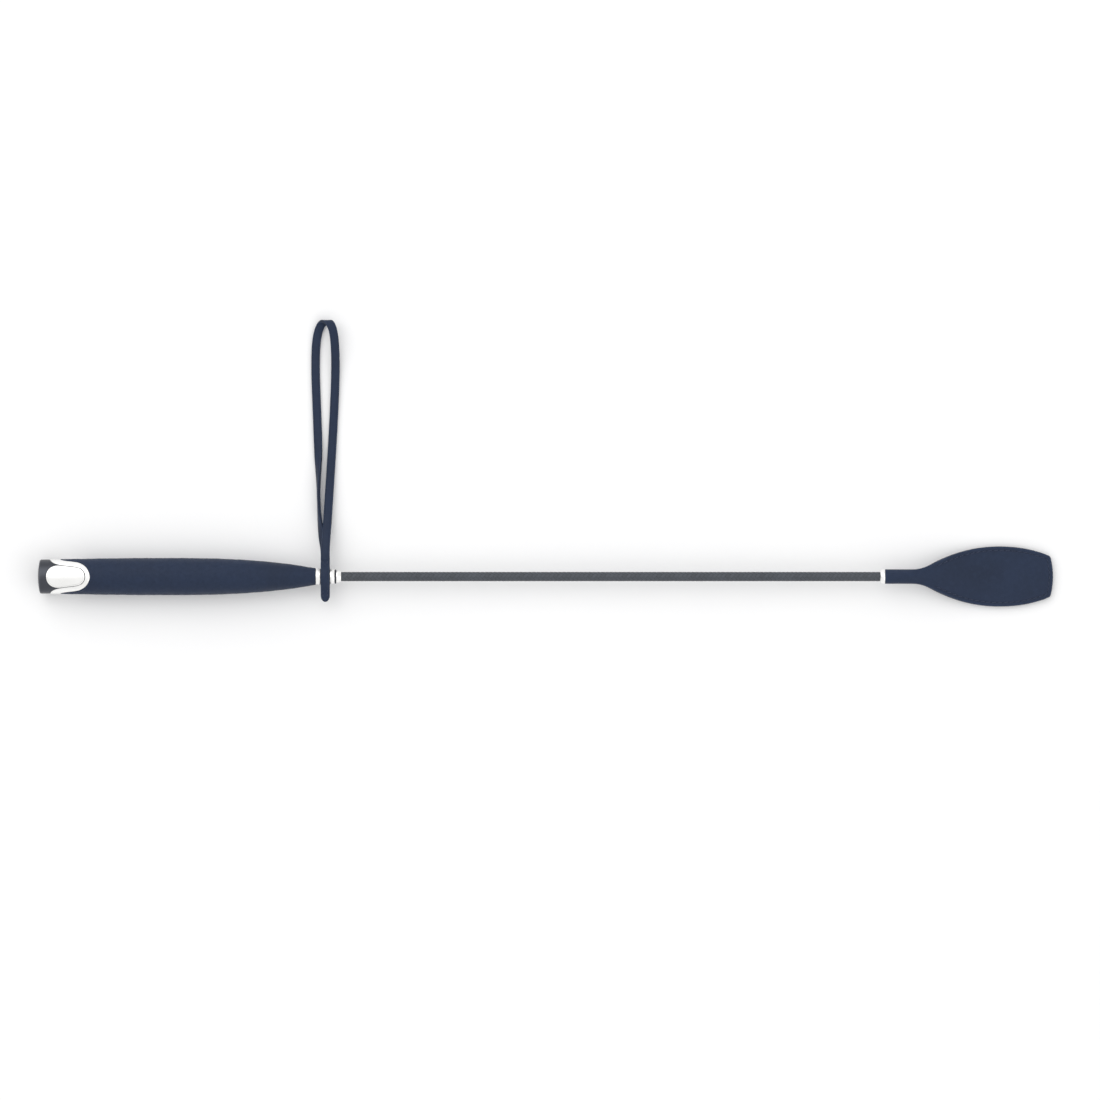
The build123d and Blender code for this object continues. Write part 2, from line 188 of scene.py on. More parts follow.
def border(tris):
    seen = {}
    for f in tris:
        for a, b in zip(f, f[1:] + f[:1]):
            seen[(a, b)] = True
    return [(a, b) for (a, b) in seen if (b, a) not in seen]


def shell(out, tris, top, bottom, skip=lambda p, q: False):
    """closed piece between a top and a bottom surface over the same triangles"""
    n = len(out)
    verts = np.vstack([top, bottom])
    faces = [tuple(f) for f in tris] + [tuple(i + n for i in reversed(f)) for f in tris]
    for a, b in border(tris):
        if not skip(out[a], out[b]):
            faces.append((b, a, a + n, b + n))
    return verts, faces


def lathe(name, profile, mat, seg=160, x_axis=True, **kw):
    """turned piece on the crop's axis; profile is a list of (x, r), closed back to its start if r > 0"""
    prof = np.asarray(profile, float)
    ph = np.linspace(0, 2 * math.pi, seg, endpoint=False)
    verts, faces = [], []
    for x, r in prof:
        r = max(r, 0.0)
        for a in ph:
            verts.append((x, r * math.sin(a), ZA + r * math.cos(a)))
    m = len(prof)
    closed = prof[0][1] > 1e-6
    for i in range(m if closed else m - 1):
        j = (i + 1) % m
        for k in range(seg):
            l = (k + 1) % seg
            faces.append((i * seg + k, j * seg + k, j * seg + l, i * seg + l))
    return make(name, verts, faces, mat, weld=0.0005, **kw)


def rounded(pts, radii, n=6):
    """polyline with its corners turned into arcs"""
    p = [np.asarray(q, float) for q in pts]
    out = []
    m = len(p)
    for i in range(m):
        a, b, c = p[i - 1], p[i], p[(i + 1) % m]
        r = radii[i] if hasattr(radii, "__len__") else radii
        u, v = (a - b), (c - b)
        lu, lv = np.linalg.norm(u), np.linalg.norm(v)
        if r <= 0 or lu < 1e-9 or lv < 1e-9:
            out.append(b)
            continue
        u, v = u / lu, v / lv
        ang = math.acos(max(-1, min(1, float(u @ v))))
        if ang > math.pi - 0.02:
            out.append(b)
            continue
        t = min(r / math.tan(ang / 2), 0.49 * lu, 0.49 * lv)
        for s in np.linspace(0, 1, n):
            q = (1 - s) ** 2 * (b + u * t) + 2 * s * (1 - s) * (b + (u + v) * t * 0.12) + s ** 2 * (b + v * t)
            out.append(q)
    return out


def tube_along(points, radius, n=8, ends=True, flat=1.0, up=None):
    """small round thread along points (mm), with rounded ends"""
    p = np.asarray(points, float)
    t = np.gradient(p, axis=0)
    t /= np.linalg.norm(t, axis=1)[:, None]
    up = np.array([0, 0, 1.0]) if up is None else np.asarray(up, float)
    verts, faces = [], []
    m = len(p)
    for i in range(m):
        side = np.cross(t[i], up)
        if np.linalg.norm(side) < 1e-6:
            side = np.array([1.0, 0, 0])
        side /= np.linalg.norm(side)
        nn = np.cross(side, t[i])
        f = 1.0
        if ends:
            e = min(i, m - 1 - i) / max(m - 1, 1)
            f = min(1.0, 0.45 + 2.6 * e)
        for k in range(n):
            a = 2 * math.pi * k / n
            verts.append(p[i] + radius * f * (math.cos(a) * side + flat * math.sin(a) * nn))
    for i in range(m - 1):
        for k in range(n):
            l = (k + 1) % n
            faces.append((i * n + k, i * n + l, (i + 1) * n + l, (i + 1) * n + k))
    faces.append(tuple(reversed(range(n))))
    faces.append(tuple((m - 1) * n + k for k in range(n)))
    return verts, faces


def join(parts):
    verts, faces = [], []
    for v, f in parts:
        o = len(verts)
        verts.extend(v)
        faces.extend(tuple(i + o for i in q) for q in f)
    return verts, faces


def smooth01(t):
    t = np.clip(t, 0, 1)
    return t * t * (3 - 2 * t)


# ------------------------------------------------------------------ materials
def srgb(r, g, b):
    out = []
    for c in (r, g, b):
        c /= 255.0
        out.append(c / 12.92 if c <= 0.04045 else ((c + 0.055) / 1.055) ** 2.4)
    return out


class Mat:
    def __init__(self, name):
        self.m = bpy.data.materials.new(name)
        self.m.use_nodes = True
        self.nt = self.m.node_tree
        self.nt.nodes.clear()
        self.out = self.nt.nodes.new("ShaderNodeOutputMaterial")
        self.bsdf = self.nt.nodes.new("ShaderNodeBsdfPrincipled")
        self.nt.links.new(self.bsdf.outputs["BSDF"], self.out.inputs["Surface"])
        self.co = self.nt.nodes.new("ShaderNodeTexCoord").outputs["Object"]

    def set(self, **kw):
        for k, v in kw.items():
            self.bsdf.inputs[k.replace("_", " ")].default_value = v
        return self

    def node(self, kind, **props):
        n = self.nt.nodes.new(kind)
        for k, v in props.items():
            setattr(n, k, v)
        return n

    def link(self, a, b):
        self.nt.links.new(a, b)

    def scaled(self, sx, sy, sz):
        n = self.node("ShaderNodeMapping")
        n.inputs["Scale"].default_value = (sx, sy, sz)
        self.link(self.co, n.inputs["Vector"])
        return n.outputs["Vector"]

    def noise(self, scale, detail=3.0, rough=0.55, vec=None, dist=0.0):
        n = self.node("ShaderNodeTexNoise")
        n.inputs["Scale"].default_value = scale
        n.inputs["Detail"].default_value = detail
        n.inputs["Roughness"].default_value = rough
        n.inputs["Distortion"].default_value = dist
        self.link(vec or self.co, n.inputs["Vector"])
        return n.outputs["Fac"]

    def voronoi(self, scale, feature="F1", vec=None, rand=1.0):
        n = self.node("ShaderNodeTexVoronoi", feature=feature)
        n.inputs["Scale"].default_value = scale
        n.inputs["Randomness"].default_value = rand
        self.link(vec or self.co, n.inputs["Vector"])
        return n.outputs["Distance"]

    def math(self, op, a, b=None, c=None, clamp=False):
        n = self.node("ShaderNodeMath", operation=op, use_clamp=clamp)
        for i, v in enumerate((a, b, c)):
            if v is None:
                continue
            if isinstance(v, (int, float)):
                n.inputs[i].default_value = v
            else:
                self.link(v, n.inputs[i])
        return n.outputs[0]

    def remap(self, v, a, b, c, d, smooth=False):
        n = self.node("ShaderNodeMapRange")
        if smooth:
            n.interpolation_type = "SMOOTHSTEP"
        self.link(v, n.inputs["Value"])
        for k, val in (("From Min", a), ("From Max", b), ("To Min", c), ("To Max", d)):
            n.inputs[k].default_value = val
        return n.outputs["Result"]

    def ramp(self, v, stops):
        n = self.node("ShaderNodeValToRGB")
        el = n.color_ramp.elements
        while len(el) > 1:
            el.remove(el[-1])
        el[0].position, el[0].color = stops[0][0], (*stops[0][1], 1)
        for p, c in stops[1:]:
            e = el.new(p)
            e.color = (*c, 1)
        self.link(v, n.inputs["Fac"])
        return n.outputs["Color"]

    def mix(self, fac, a, b, mode="MIX"):
        n = self.node("ShaderNodeMix", data_type="RGBA", blend_type=mode)
        if isinstance(fac, (int, float)):
            n.inputs["Factor"].default_value = fac
        else:
            self.link(fac, n.inputs["Factor"])
        for i, v in (("A", a), ("B", b)):
            s = [q for q in n.inputs if q.name == i and q.type == "RGBA"][0]
            if isinstance(v, (list, tuple)):
                s.default_value = (*v[:3], 1)
            else:
                self.link(v, s)
        return [q for q in n.outputs if q.type == "RGBA"][0]

    def attr(self, name):
        n = self.node("ShaderNodeAttribute", attribute_name=name)
        return n.outputs["Fac"]

    def bump(self, height, distance, strength=1.0, base=None):
        n = self.node("ShaderNodeBump")
        n.inputs["Distance"].default_value = distance
        n.inputs["Strength"].default_value = strength
        self.link(height, n.inputs["Height"])
        if base is not None:
            self.link(base, n.inputs["Normal"])
        return n.outputs["Normal"]

    def done(self, color=None, rough=None, normal=None):
        if color is not None:
            self.link(color, self.bsdf.inputs["Base Color"])
        if rough is not None:
            self.link(rough, self.bsdf.inputs["Roughness"])
        if normal is not None:
            self.link(normal, self.bsdf.inputs["Normal"])
        return self.m


NAVY = [0.0138, 0.0243, 0.0535]


def leather(name, col, grain=1.0, rough=0.5, cell=0.00085):
    m = Mat(name)
    m.set(Specular_IOR_Level=0.21, Sheen_Weight=0.015, Sheen_Roughness=0.5)
    big = m.noise(38, 3, 0.5)
    mid = m.noise(260, 4, 0.6)
    pores = m.noise(6500, 2, 0.5)
    # grain: cells pushed out of shape by a slow wander, so that no two look alike
    nz = m.node("ShaderNodeTexNoise")
    nz.inputs["Scale"].default_value = 900
    nz.inputs["Detail"].default_value = 2
    m.link(m.co, nz.inputs["Vector"])
    off = m.node("ShaderNodeVectorMath", operation="MULTIPLY_ADD")
    m.link(nz.outputs["Color"], off.inputs[0])
    off.inputs[1].default_value = (cell * 0.8,) * 3
    m.link(m.co, off.inputs[2])
    v1 = m.voronoi(1.0 / cell, "DISTANCE_TO_EDGE", vec=off.outputs[0])
    crack = m.remap(v1, 0.0, 0.3, 0.0, 1.0, smooth=True)
    v2 = m.voronoi(2.4 / cell, "SMOOTH_F1", vec=off.outputs[0])
    fade = m.remap(m.noise(420, 2, 0.5), 0.35, 0.65, 0.35, 1.0)      # grain is shallower in places
    vein = m.math("MULTIPLY", m.math("SUBTRACT", 1.0, crack), fade)
    # colour: slow drift, painted shade in the grain's creases, worn paler on edges
    dark = [c * 0.72 for c in col]
    pale = [c * 1.28 for c in col]
    c1 = m.mix(m.remap(big, 0.3, 0.7, 0, 1), dark, pale)
    c1 = m.mix(0.55, c1, list(col))
    c1 = m.mix(m.math("MULTIPLY", vein, 0.34 * grain, clamp=True), c1, [c * 0.5 for c in col])
    c1 = m.mix(m.math("MULTIPLY", m.remap(mid, 0.52, 0.75, 0, 1), 0.18), c1, [c * 1.6 + 0.004 for c in col])
    edge = m.math("MULTIPLY", m.attr("edge"), m.remap(mid, 0.35, 0.65, 0.25, 1.0), clamp=True)
    c1 = m.mix(m.math("MULTIPLY", edge, 0.45), c1, [c * 2.0 + 0.006 for c in col])
    burn_and_shade = m.math("MULTIPLY", m.attr("burnish_and_shade"), 0.75, clamp=True)
    c1 = m.mix(burn_and_shade, c1, [c * 0.42 for c in col])
    r = m.math("ADD", m.remap(big, 0.25, 0.75, rough - 0.06, rough + 0.08), m.math("MULTIPLY", vein, 0.14))
    r = m.math("SUBTRACT", r, m.math("MULTIPLY", m.attr("burnish_and_shade"), 0.12), clamp=True)
    h = m.math("ADD", m.math("MULTIPLY", vein, -0.8 * grain), m.math("MULTIPLY", m.remap(v2, 0, 0.6, 1, 0), 0.22 * grain))
    h = m.math("ADD", h, m.math("MULTIPLY", pores, 0.3))
    h = m.math("ADD", h, m.math("MULTIPLY", mid, 0.35))
    n = m.bump(h, 0.00005, 0.85)
    return m.done(c1, r, n)


def metal(name, col, rough, brush=(1, 1, 1), scratch=0.3, metallic=1.0, blotch=0.12):
    m = Mat(name)
    m.set(Metallic=metallic)
    fine = m.noise(1800, 2, 0.5, vec=m.scaled(*brush))
    slow = m.noise(90, 3, 0.6)
    hair = m.noise(700, 1, 0.4, vec=m.scaled(3.0, 0.25, 0.25), dist=1.2)
    line = m.remap(m.math("ABSOLUTE", m.math("SUBTRACT", hair, 0.5)), 0.0, 0.012, 1.0, 0.0)
    c1 = m.mix(m.remap(slow, 0.3, 0.7, 0, 1), [c * (1 - blotch) for c in col], [min(1, c * (1 + blotch * 0.6)) for c in col])
    # painted shade: darker in grooves and along the edges where parts meet
    c1 = m.mix(m.math("MULTIPLY", m.attr("burnish_and_shade"), 0.6, clamp=True), c1, [c * 0.45 for c in col])
    c1 = m.mix(m.math("MULTIPLY", m.attr("edge"), 0.35, clamp=True), c1, [min(1.0, c * 1.7 + 0.05) for c in col])
    r = m.math("ADD", m.remap(fine, 0.3, 0.7, rough - 0.05, rough + 0.07), m.remap(slow, 0.3, 0.7, -0.03, 0.04))
    h = m.math("SUBTRACT", m.math("MULTIPLY", fine, 0.5), m.math("MULTIPLY", line, scratch))
    n = m.bump(h, 0.000006, 0.8)
    return m.done(c1, r, n)


def thread_mat(name, col):
    m = Mat(name)
    m.set(Specular_IOR_Level=0.25, Sheen_Weight=0.08, Sheen_Roughness=0.4)
    tw = m.noise(3800, 3, 0.6)
    w = m.node("ShaderNodeTexWave", wave_type="BANDS", bands_direction="DIAGONAL")
    w.inputs["Scale"].default_value = 900
    w.inputs["Distortion"].default_value = 1.5
    m.link(m.co, w.inputs["Vector"])
    c1 = m.mix(m.remap(tw, 0.3, 0.7, 0, 1), [c * 0.7 for c in col], [c * 1.35 for c in col])
    r = m.remap(tw, 0.3, 0.7, 0.45, 0.68)
    n = m.bump(m.math("ADD", w.outputs["Fac"], tw), 0.00005, 0.8)
    return m.done(c1, r, n)


def braid_mat(name, col):
    m = Mat(name)
    m.set(Specular_IOR_Level=0.34, Coat_Weight=0.08, Coat_Roughness=0.35)
    fibre = m.noise(9000, 3, 0.6)
    slow = m.noise(55, 3, 0.6)
    mid = m.noise(800, 3, 0.6)
    # filaments lie side by side along each strand
    wob = m.math("MULTIPLY", m.noise(1500, 2, 0.5), 5.0)
    fil = m.math("SINE", m.math("ADD", m.math("MULTIPLY", m.attr("across"), 42.0), wob))
    fil = m.math("MULTIPLY_ADD", fil, 0.5, 0.5)
    c1 = m.mix(m.remap(slow, 0.3, 0.7, 0, 1), [c * 0.88 for c in col], [c * 1.12 for c in col])
    c1 = m.mix(m.remap(mid, 0.35, 0.7, 0, 0.3), c1, [c * 0.7 for c in col])
    # painted shade between the filaments
    c1 = m.mix(m.math("MULTIPLY", m.math("SUBTRACT", 1.0, fil), 0.32), c1, [c * 0.5 for c in col])
    # painted shade: darker where a strand dips under its neighbour, at the strand edges and between its yarns
    c1 = m.mix(m.remap(m.attr("gap_shade"), 0.0, 1.0, 0.0, 0.75), c1, [c * 0.35 for c in col])
    c1 = m.mix(m.remap(m.attr("shade"), 0.0, 1.0, 0.0, 0.22), c1, [c * 1.6 for c in col])
    r = m.math("ADD", m.remap(mid, 0.3, 0.7, 0.4, 0.52), m.math("MULTIPLY", m.attr("gap_shade"), 0.15))
    h = m.math("ADD", m.math("MULTIPLY", fibre, 0.35), m.math("MULTIPLY", fil, 0.75))
    n = m.bump(h, 0.000028, 0.9)
    return m.done(c1, r, n)


def rubber_mat(name, col):
    m = Mat(name)
    m.set(Specular_IOR_Level=0.3)
    f = m.noise(2600, 3, 0.6)
    s = m.noise(120, 3, 0.6)
    c1 = m.mix(m.remap(s, 0.3, 0.7, 0, 1), [c * 0.85 for c in col], [c * 1.2 for c in col])
    n = m.bump(f, 0.00002, 0.7)
    return m.done(c1, m.remap(f, 0.3, 0.7, 0.5, 0.7), n)


def floor_mat():
    m = Mat("studio_floor")
    m.set(Specular_IOR_Level=0.1)
    f = m.noise(9, 3, 0.5)
    c1 = m.mix(m.remap(f, 0.2, 0.8, 0, 1), [0.86, 0.86, 0.865], [0.88, 0.88, 0.88])
    return m.done(c1, m.remap(f, 0.2, 0.8, 0.75, 0.8), None)


M_GRIP = leather("grip_leather", NAVY, 1.0, 0.5, 0.00062)
M_FLAP = leather("flap_leather", NAVY, 0.85, 0.47, 0.00055)
M_STRAP = leather("strap_leather", NAVY, 0.7, 0.46, 0.00045)
M_THREAD = thread_mat("navy_thread", [0.030, 0.040, 0.075])
M_BRAID = braid_mat("shaft_braid", [0.064, 0.072, 0.086])
M_CORE = rubber_mat("shaft_core", srgb(30, 31, 34))
M_CAP = metal("cap_gunmetal", [0.073, 0.077, 0.089], 0.36, brush=(8, 0.4, 0.4), scratch=0.4)
M_NICKEL = metal("satin_nickel", [0.95, 0.945, 0.93], 0.32, brush=(6, 0.4, 0.4), scratch=0.15, blotch=0.03)
M_RUBBER = rubber_mat("washer_rubber", srgb(34, 37, 46))

# ------------------------------------------------------------------ grip, cap, trim and badge
GRIP = [(-312.0, 11.18), (-307.0, 11.28), (-298.1, 11.39), (-285.3, 11.62), (-275.0, 11.76),
        (-264.8, 11.85), (-249.4, 11.93), (-234.1, 11.90), (-223.8, 11.83), (-213.6, 11.66),
        (-203.4, 11.30), (-193.1, 10.75), (-182.9, 10.01), (-172.6, 9.04), (-162.4, 7.79),
        (-152.2, 6.19), (-147.49, 5.40)]
gc = catmull(GRIP, 0.5)


def grip_r(x):
    return np.interp(x, gc[:, 0], gc[:, 1])


def metal_r(x):
    return np.interp(x, [-330, -311, -300, -290], [10.91, 10.93, 11.08, 11.2])


def inner_r(x):
    return np.interp(x, [-330, -309, -300, -291, -275, -249.4, -223.8, -203.4, -182.9, -162.4, -152.2, -147.4],
                     [9.9, 9.9, 10.0, 10.25, 10.49, 10.65, 10.55, 10.0, 8.73, 6.5, 4.9, 4.3])


# edge curves of the scallops as (angle from the top in degrees, x): front half, mirrored to the back
A_PTS = [(0, -294.4), (8, -294.55), (15.4, -295.1), (21.5, -295.95), (27.2, -297.1), (33.6, -300.1), (38.1, -305.0), (43.6, -310.4),
         (47.6, -312.9), (53.0, -314.7), (60.0, -316.0), (74.0, -317.1), (90, -317.45)]
B_PTS = [(0, -291.2), (7, -291.35), (14.0, -291.75), (27.3, -293.0), (35.7, -294.2), (42.4, -295.5), (48.1, -296.9),
         (53.0, -298.3), (57.0, -300.2), (60.8, -302.6), (63.8, -305.0), (68.0, -307.6), (75.0, -309.8), (90, -310.9)]


def ring_curve(pts, step):
    """whole way round: (x, s) with s from -pi*S0 to pi*S0"""
    q = [(x, math.radians(a) * S0) for a, x in pts]
    half = q + [(x, math.pi * S0 - s) for x, s in reversed(q[:-1])]
    full = [(x, -s) for x, s in reversed(half)][:-1] + half
    ext = [(x, s - 2 * math.pi * S0) for x, s in full[-5:-1]] + full + [(x, s + 2 * math.pi * S0) for x, s in full[1:5]]
    c = catmull(ext, step / 2)
    lim = math.pi * S0
    c = c[(c[:, 1] > -lim - 1e-9) & (c[:, 1] < lim + 1e-9)]
    x_end = full[0][0]
    c = np.vstack([(x_end, -lim), c[1:-1], (x_end, lim)])
    return resample(c, step)


LIM = math.pi * S0
curve_a = ring_curve(A_PTS, 0.45)
curve_b = ring_curve(B_PTS, 0.45)


def shifted(curve, d):
    """curve moved sideways by d, towards +x for d > 0"""
    ext = np.vstack([curve[-2] - (0, 2 * LIM), curve, curve[1] + (0, 2 * LIM)])
    t = ext[2:] - ext[:-2]
    t /= np.linalg.norm(t, axis=1)[:, None]
    n = np.stack([t[:, 1], -t[:, 0]], axis=1)
    q = curve + n * d
    q[0, 1], q[-1, 1] = -LIM, LIM
    return q


def wrap(p, r):
    ph = p[:, 1] / S0
    return np.stack([p[:, 0], r * np.sin(ph), ZA + r * np.cos(ph)], axis=1)


def strip_loop(left, right, step):
    """closed loop of a band between two curves that both run from -LIM to LIM"""
    n = max(int(abs(right[-1, 0] - left[-1, 0]) / step), 2)
    top = np.linspace(left[-1], right[-1], n + 1)[1:-1]
    bot = np.linspace(right[0], left[0], n + 1)[1:-1]
    loop = np.vstack([right, top[::-1], left[::-1], bot[::-1]])
    k = [len(right), len(top), len(left), len(bot)]
    real = np.r_[np.ones(k[0] - 1), np.zeros(1), np.zeros(k[1]), np.ones(k[2] - 1), np.zeros(1), np.zeros(k[3])].astype(bool)
    return loop, real, k


def cut_edge(p, q):
    return abs(abs(p[1]) - LIM) < 1e-4 and abs(abs(q[1]) - LIM) < 1e-4 and p[1] * q[1] > 0


# end cap: domed end and body, one skin to the scalloped edge
X_BODY = -320.5
n_round = 160
s_line = np.linspace(-LIM, LIM, n_round + 1)
left = np.stack([np.full(n_round + 1, X_BODY), s_line], axis=1)
loop, real, k = strip_loop(left, curve_a, 0.45)
real[k[0] + k[1]: k[0] + k[1] + k[2]] = False           # the line at X_BODY isn't an edge
out, tris, d = region(loop, 0.6, [0.08, 0.18, 0.32, 0.5, 0.8], real)
drop = 0.22 * (1 - np.sqrt(np.clip(1 - (1 - np.clip(d / 0.4, 0, 1)) ** 2, 0, 1)))
r_top = metal_r(out[:, 0]) - drop
r_bot = np.full(len(out), 9.95)
v, f = shell(out, tris, wrap(out, r_top), wrap(out, r_bot),
             skip=lambda p, q: cut_edge(p, q) or (abs(p[0] - X_BODY) < 1e-4 and abs(q[0] - X_BODY) < 1e-4))
edge_at = np.r_[np.clip(1 - d / 0.5, 0, 1) * (d < 0.5), np.zeros(len(out))]
# end: from the body line over the corner and the dome to the axis
prof = [(X_BODY, 10.91), (-322.2, 10.91), (-323.0, 10.90), (-323.45, 10.83), (-323.75, 10.66), (-323.92, 10.42), (-324.02, 10.1),
        (-324.1, 9.8), (-324.16, 9.62), (-324.05, 9.5), (-324.07, 9.2), (-324.2, 9.05), (-324.32, 8.6), (-324.6, 7.4),
        (-324.85, 5.6), (-325.03, 3.8), (-325.12, 1.9), (-325.15, 0.0)]
ph = s_line[:-1] / S0
base = len(v)
v = list(v)
e2 = []
for x, r in prof[:-1]:
    for a in ph:
        v.append((x, r * math.sin(a), ZA + r * math.cos(a)))
        e2.append(0.7 if -323.95 < x < -323.4 else 0.0)
v.append((prof[-1][0], 0, ZA))
e2.append(0.0)
f = list(f)
nr = len(prof) - 1
for i in range(nr - 1):
    for j in range(n_round):
        l = (j + 1) % n_round
        f.append((base + i * n_round + j, base + i * n_round + l, base + (i + 1) * n_round + l, base + (i + 1) * n_round + j))
tip = base + nr * n_round
for j in range(n_round):
    f.append((base + (nr - 1) * n_round + j, base + (nr - 1) * n_round + (j + 1) % n_round, tip))
# inside: back from the body line to a floor disc, so that the cup is closed
inner_base = len(v)
for a in ph:
    v.append((X_BODY, 9.95 * math.sin(a), ZA + 9.95 * math.cos(a)))
    e2.append(0.0)
v.append((X_BODY, 0, ZA))
e2.append(0.0)
for j in range(n_round):
    f.append((inner_base + (j + 1) % n_round, inner_base + j, inner_base + n_round))
# painted shade in the groove round the domed end
burn_and_shade = np.zeros(len(v))
for i, p in enumerate(v):
    if -324.2 < p[0] < -324.0 and 9.0 < math.hypot(p[1], p[2] - ZA) < 9.7:
        burn_and_shade[i] = 0.8
cap = make("end_cap_shell", v, f, M_CAP, "crop", ["end_cap"], "cap_metal", weld=0.002,
           attrs={"edge": np.r_[edge_at, e2], "burnish_and_shade": burn_and_shade})

# trim band
la, rb = shifted(curve_a, 0.05), shifted(curve_b, -0.05)
loop, real, k = strip_loop(la, rb, 0.45)
out, tris, d = region(loop, 0.6, [0.07, 0.16, 0.28, 0.45, 0.7, 1.0], real)
crown = 0.36 * np.sqrt(np.clip(1 - (1 - np.clip(d / 1.15, 0, 1)) ** 2, 0, 1))
r_top = metal_r(out[:, 0]) - 0.18 + crown
v, f = shell(out, tris, wrap(out, r_top), wrap(out, np.full(len(out), 9.97)), skip=cut_edge)
# painted shade along both edges of the band, where it meets the cap and the grip
trim = make("cap_trim_band", v, f, M_NICKEL, "crop", ["cap_trim"], "bright_metal", weld=0.002,
            attrs={"edge": np.r_[np.clip(1 - d / 0.3, 0, 1) * 0.2, np.zeros(len(out))],
                   "burnish_and_shade": np.r_[np.clip(1 - d / 0.12, 0, 1) * 0.8, np.zeros(len(out))]})

# blank badge plate on the front tongue
BADGE = [(-319.25, 0.0), (-318.95, 2.2), (-317.9, 4.35), (-316.2, 5.95), (-314.0, 6.85), (-311.8, 7.1), (-308.5, 6.87),
         (-304.5, 6.33), (-300.6, 5.84), (-298.1, 5.24), (-296.25, 4.0), (-295.1, 2.35), (-294.64, 0.0)]
bq = [(x, S0 * math.asin(h / 11.15)) for x, h in BADGE]
bl = bq + [(x, -s) for x, s in reversed(bq[1:-1])]
ext = bl[-3:] + bl + bl[:4]
cc = catmull(ext, 0.1)
i0 = int(np.argmin(np.linalg.norm(cc[:len(cc) // 3] - bl[0], axis=1)))
i1 = len(cc) // 2 + int(np.argmin(np.linalg.norm(cc[len(cc) // 2:] - bl[0], axis=1)))
bloop = resample(cc[i0:i1 + 1], 0.3)[:-1]
out, tris, d = region(bloop, 0.5, [0.06, 0.14, 0.24, 0.36, 0.5, 0.7, 0.85, 0.95, 1.05, 1.15, 1.3, 1.6], np.ones(len(bloop), bool))
th = 0.42 * np.sqrt(np.clip(1 - (1 - np.clip(d / 0.34, 0, 1)) ** 2, 0, 1)) + 0.05 * smooth01((d - 1.2) / 4)
th = th - 0.09 * np.exp(-((d - 1.0) / 0.13) ** 2)
v, f = shell(out, tris, wrap(out, metal_r(out[:, 0]) + 0.02 + th), wrap(out, metal_r(out[:, 0]) - 0.25))
# painted shade in the badge's border groove and round its edge
badge = make("cap_badge_plate", v, f, M_NICKEL, "crop", ["cap_badge", "badge_pins"], "bright_metal", weld=0.0005,
             attrs={"edge": np.r_[np.clip(1 - np.abs(d - 0.25) / 0.2, 0, 1) * 0.2, np.zeros(len(out))],
                    "burnish_and_shade": np.r_[0.75 * np.exp(-((d - 1.0) / 0.15) ** 2) + 0.5 * (d < 0.05), np.zeros(len(out))]})

# grip leather: triangulated part round the scallops, then a plain grid to the neck
SEAM = math.radians(-128)          # the seam runs along the under side, towards the front
lb = shifted(curve_b, 0.03)
X_JOIN = -284.0
ds = np.concatenate([np.arange(-6, 0, 0.3), np.arange(0, 6.01, 0.3)])
seam_s = SEAM * S0
samples = np.linspace(-LIM, LIM, 129)
near = seam_s + np.arange(-5.0, 5.01, 0.25)
samples = np.array(sorted(set(list(np.round(samples[np.abs(samples - seam_s) > 5.2], 5)) + list(np.round(near, 5)))))
samples[0], samples[-1] = -LIM, LIM
right = np.stack([np.full(len(samples), X_JOIN), samples], axis=1)
loop, real, k = strip_loop(lb, right, 0.6)
# right side first in the loop: it isn't an edge, the left curve is
real[:k[0]] = False
out, tris, d = region(loop, 0.8, [0.08, 0.18, 0.32, 0.5, 0.75, 1.1, 1.6], real)


def seam_depth(x, s):
    dd = (s - seam_s + LIM) % (2 * LIM) - LIM
    on = smooth01((x + 289.0) / 2.0)
    return on * (0.42 * np.exp(-(dd / 0.32) ** 2) - 0.16 * np.exp(-((np.abs(dd) - 1.1) / 0.6) ** 2))


def wrap_noise(x, s):
    ph = s / S0
    w = 0.035 * np.sin(x * 0.31 + 2.0 * np.sin(ph * 2 + x * 0.05)) + 0.03 * np.sin(x * 0.83 + ph * 3 + 1.7) \
        + 0.02 * np.sin(x * 1.9 - ph * 5 + 0.6 * np.sin(x * 0.4))
    return w - 0.06


def skin_r(x, s, edge_d, end_d):
    r = grip_r(x) + wrap_noise(x, s) * smooth01(edge_d / 2.5)
    r = r - 0.42 * (1 - np.sqrt(np.clip(1 - (1 - np.clip(edge_d / 0.75, 0, 1)) ** 2, 0, 1)))
    r = r - 0.10 * np.exp(-((edge_d - 1.5) / 0.35) ** 2)
    r = r - 0.5 * (1 - np.sqrt(np.clip(1 - (1 - np.clip(end_d / 0.7, 0, 1)) ** 2, 0, 1)))
    return r - seam_depth(x, s)


r_top = skin_r(out[:, 0], out[:, 1], d, 99.0)
v1, f1 = shell(out, tris, wrap(out, r_top), wrap(out, inner_r(out[:, 0])),
               skip=lambda p, q: cut_edge(p, q) or (abs(p[0] - X_JOIN) < 1e-4 and abs(q[0] - X_JOIN) < 1e-4))
e1 = np.r_[np.clip(1 - d / 0.9, 0, 1), np.zeros(len(out))]
b1 = np.r_[0.9 * np.clip(1 - d / 0.35, 0, 1) + 0.35 * np.exp(-((d - 1.5) / 0.3) ** 2), np.zeros(len(out))]
X_NE = -147.49
xs = np.concatenate([np.arange(X_JOIN, X_NE - 1.2, 0.85), X_NE - np.array([1.0, 0.75, 0.55, 0.38, 0.24, 0.12, 0.04, 0.0])])
m = len(samples)
gx, gs = np.meshgrid(xs, samples, indexing="ij")
flat = np.stack([gx.ravel(), gs.ravel()], axis=1)
end_d = X_NE - flat[:, 0]
rt = skin_r(flat[:, 0], flat[:, 1], np.full(len(flat), 99.0), end_d)
v2 = np.vstack([wrap(flat, rt), wrap(flat, inner_r(flat[:, 0]) - 0.0)])
f2 = []
N = len(flat)
